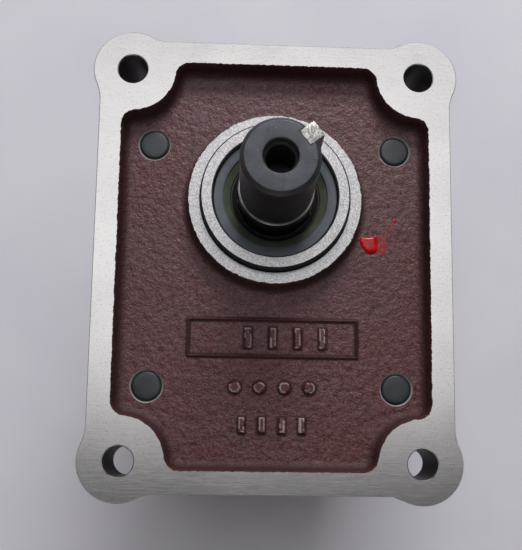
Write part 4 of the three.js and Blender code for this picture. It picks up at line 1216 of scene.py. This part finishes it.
def lip_seal(name, node, start, top, outside, shaft_radius, axis):
    """A lip seal: rubber face, a step down to the olive web, and the black lip against the shaft."""
    outer, lip = outside - fit, shaft_radius + 0.12
    web = lip + (outer - lip) * 0.32
    step = lip + (outer - lip) * 0.59
    profile = [
        (outer, start, SEAL_FACE), (outer, top - 0.4, SEAL_FACE), (outer - 0.35, top, SEAL_FACE),
        (step + 0.35, top, SEAL_FACE), (step + 0.1, top - 0.15, SEAL_FACE), (step, top - 0.5, BLACK),
        (step, top - 0.95, SEAL_WEB), (step - 0.5, top - 1.15, SEAL_WEB), (web + 0.6, top - 2.6, SEAL_WEB),
        (web, top - 2.9, BLACK), (web - 0.25, top - 3.6, BLACK), (web - 0.8, top - 3.5, BLACK),
        (lip + 1.5, top - 4.0, BLACK), (lip + 0.9, top - 3.4, BLACK), (lip + 0.45, top - 3.2, BLACK),
        (lip + 0.3, top - 3.6, BLACK), (lip, top - 5.2, BLACK), (lip + 0.5, top - 6.3, BLACK),
        (lip + 1.3, top - 6.1, BLACK), (lip + 1.35, top - 5.3, BLACK), (lip + 2.6, top - 5.2, BLACK),
        (outer - 1.6, top - 4.2, BLACK), (outer - 1.6, start + 0.3, BLACK), (outer - 1.2, start, SEAL_FACE),
    ]
    shell = Shell()
    loops = shell.rings([(radius, height) for radius, height, _ in profile], steps=144)
    shell.points = turned_to(axis, shell.points)
    for i, (_, _, material) in enumerate(profile):
        shell.strip(loops[i], loops[(i + 1) % len(loops)], material)
    shell.build(name, "housing", node, 40)


def end_cap():
    outside, register = low("end_cap").y, high("end_cap").y
    face = low("end_cap_gasket").y - 0.1
    profile = [
        (0, outside + 1.4), (23, outside + 1.4), (26, outside), (hub_radius - 1.2, outside),
        (hub_radius, outside + 1.2), (hub_radius, face), (30.7, face), (30.7, register), (26.5, register),
        (26.5, face - 2), (0, face - 2),
    ]

    def finish(radius, height):
        return RIM if height > face - 2.1 or (radius < 31 and height > face - 1) else PRIMER
    shell = Shell()
    lathe(shell, softened(profile, 0.6), finish, "Y", 144)
    holes = [rod(2.9, outside - 1, register + 1, DRILLED, "Y", place, 32) for place in cap_screw_places]
    mesh = machined_out(helper(shell), holes)
    present(mesh, "end_cap_cover", "housing", "end_cap")


def end_cap_gasket():
    start, end = low("end_cap_gasket").y, high("end_cap_gasket").y
    shell = Shell()
    inner = 31.2
    outline = [(hub_radius, start), (hub_radius, end), (inner, end), (inner, start)]
    outer_start, outer_end, inner_end, inner_start = shell.rings(outline, steps=144)
    shell.strip(outer_start, outer_end, GASKET)
    shell.strip(inner_end, inner_start, GASKET)
    lower, upper = shell.holes(cap_screw_places, [(2.6, start), (2.6, end)], GASKET, 24)
    shell.fill(outer_start, [inner_start, *lower], GASKET)
    shell.fill(outer_end, [inner_end, *upper], GASKET)
    shell.points = turned_to("Y", shell.points)
    shell.build("end_cap_gasket_ring", "housing", "end_cap_gasket")


def paint_drop(name, place, reach, angle, thickness, material, taper=0.0):
    """A drop of paint on the recess floor. reach is half its length and half its width, and taper is how
    much it narrows towards its tail."""
    cx, cy = place
    shell = Shell()

    def outline(share, z=None):
        points = []
        for px, py in circle(0, 0, 1, 60):
            wobble = 1 + 0.16 * noise.noise(Vector((px * 1.7 + cx, py * 1.7 + cy, reach[0])))
            along = px * reach[0] * share * wobble
            across = py * reach[1] * share * wobble * (1 + taper * px)
            x = cx + along * math.cos(angle) - across * math.sin(angle)
            y = cy + along * math.sin(angle) + across * math.cos(angle)
            points.append((x, y, floor_height(x, y) + thickness * (1 - share ** 4) if z is None else z))
        return shell.loop(points)
    loops = [outline(0.98, floor_z - 0.6)]
    loops += [outline(share) for share in (1.0, 0.97, 0.9, 0.75, 0.55, 0.35, 0.15)]
    shell.loft(loops, material)
    shell.cap(loops[0], material)
    shell.cap(loops[-1][::-1], material)
    shell.build(name, "housing", sharp=80)


# Everything together ------------------------------------------------------------------------------

front_housing()
main_housing()
rear_cover()
gaskets()
housing_screws()
socket_screws()
for node in plugs:
    plug(node)
end_cap()
end_cap_gasket()
input_shaft()
output_shaft()
key_bar("input_key_bar", "input_key", "input_rotor", input_tip, input_key_angle, "Z")
key_bar("output_key_bar", "output_key", "output_rotor", output_tip, 0, "Y")
lip_seal("input_seal_ring", "input_seal", low("input_seal").z, high("input_seal").z, 25, seal_journal, "Z")
lip_seal("output_seal_ring", "output_seal", low("output_seal").y, high("output_seal").y, 31, 15, "Y")
paint_drop("paint_mark", (39.2, -16.1), (4.3, 3.6), -0.4, 0.7, RED, 0.45)
paint_drop("paint_smear", (44.0, -16.2), (2.9, 4.2), 0.15, 0.15, SMEAR)
paint_drop("paint_streak", (48.2, -9.4), (4.4, 0.45), 1.15, 0.15, SMEAR)
paint_drop("paint_streak_end", (49.9, -5.9), (0.9, 0.75), 0.6, 0.2, RED)

# Parts inside the case keep their CAD meshes.
inside_finishes = {"gear_steel": GEAR, "bright_steel": GROUND, "blackened_steel": BLACKENED}
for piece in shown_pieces():
    if "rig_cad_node" in piece:
        for slot in piece.material_slots:
            slot.material = inside_finishes[slot.material.name.split(".")[0]]


# Floor, light and camera --------------------------------------------------------------------------

def pale_floor():
    f = Finish("pale_floor", roughness=0.75)
    cloud = f.noise(90, 3)
    grain = f.noise(0.8, 2)
    base = f.ramp(cloud, (0.35, colour(202, 200, 209)), (0.65, colour(210, 208, 216)))
    return f.finish(base, None, f.bump(grain, 0.04))


def floor():
    shell = Shell()
    shell.cap(shell.loop(at_height(circle(0, 0, 12000, 96), 0)), pale_floor())
    piece = helper(shell)
    piece.name = "floor"


def key_light():
    """A large soft light above and beyond the output shaft, which faces the middle of the gearbox."""
    lamp = bpy.data.lights.new("key_light", "AREA")
    lamp.shape = "RECTANGLE"
    lamp.size, lamp.size_y = 0.6, 0.4
    lamp.energy = 16
    light = bpy.data.objects.new("key_light", lamp)
    light.location = (0.15, 1.25, 1.0)
    light.rotation_euler = (Vector((0, 0, 0.12)) - light.location).to_track_quat("-Z", "Y").to_euler()
    light.visible_camera = False
    bpy.context.scene.collection.objects.link(light)


def studio_light():
    """A soft bright room on the +Y side that falls off to a dim one on the -Y side and at both ends of X,
    with a pale horizon all round."""
    world = bpy.data.worlds.new("studio")
    bpy.context.scene.world = world
    world.use_nodes = True
    tree = world.node_tree
    direction = tree.nodes.new("ShaderNodeTexCoord").outputs["Generated"]
    split = tree.nodes.new("ShaderNodeSeparateXYZ")
    tree.links.new(direction, split.inputs[0])

    def ramp(axis, *stops):
        spread = tree.nodes.new("ShaderNodeMapRange")
        spread.inputs["From Min"].default_value = -1
        tree.links.new(split.outputs[axis], spread.inputs["Value"])
        shades = [((at + 1) / 2, grey(brightness)) for at, brightness in stops]
        return colour_ramp(tree, spread.outputs["Result"], shades)
    front_to_back = ramp(
        "Y", (-1.0, 0.35), (-0.6, 0.18), (-0.3, 0.03), (-0.04, 0.03),
        (0.08, 2.3), (0.42, 2.4), (0.6, 0.6), (1.0, 0.4),
    )
    side_to_side = ramp("X", (-0.7, 0.1), (-0.45, 0.02), (-0.27, 1.0), (0.27, 1.0), (0.45, 0.02), (0.7, 0.1))
    horizon = ramp("Z", (0.0, 0.4), (0.3, 0.38), (0.45, 0.2), (0.6, 0.0))

    def blended(operation, first, second):
        node = tree.nodes.new("ShaderNodeVectorMath")
        node.operation = operation
        tree.links.new(first, node.inputs[0])
        tree.links.new(second, node.inputs[1])
        return node.outputs[0]
    sky = blended("ADD", blended("MULTIPLY", front_to_back, side_to_side), horizon)
    tree.links.new(sky, tree.nodes["Background"].inputs["Color"])


def camera():
    """The photograph's view: nearly straight down onto the flange, from a little below the middle."""
    lens = bpy.data.cameras.new("camera")
    lens.lens = 51.4
    lens.shift_x, lens.shift_y = -0.031, 0.109
    lens.clip_start, lens.clip_end = 0.01, 20
    viewer = bpy.data.objects.new("camera", lens)
    right = Vector((0.9989, 0.0123, 0.0455)).normalized()
    ahead = Vector((0.0434, 0.1362, -0.9897)).normalized()
    up = right.cross(ahead)
    viewer.matrix_world = Matrix((right, up, -ahead)).transposed().to_4x4()
    viewer.location = (-0.0116, -0.0978, 0.4565)
    bpy.context.scene.collection.objects.link(viewer)
    bpy.context.scene.camera = viewer


floor()
key_light()
camera()
studio_light()
bpy.context.scene.view_settings.view_transform = "Standard"
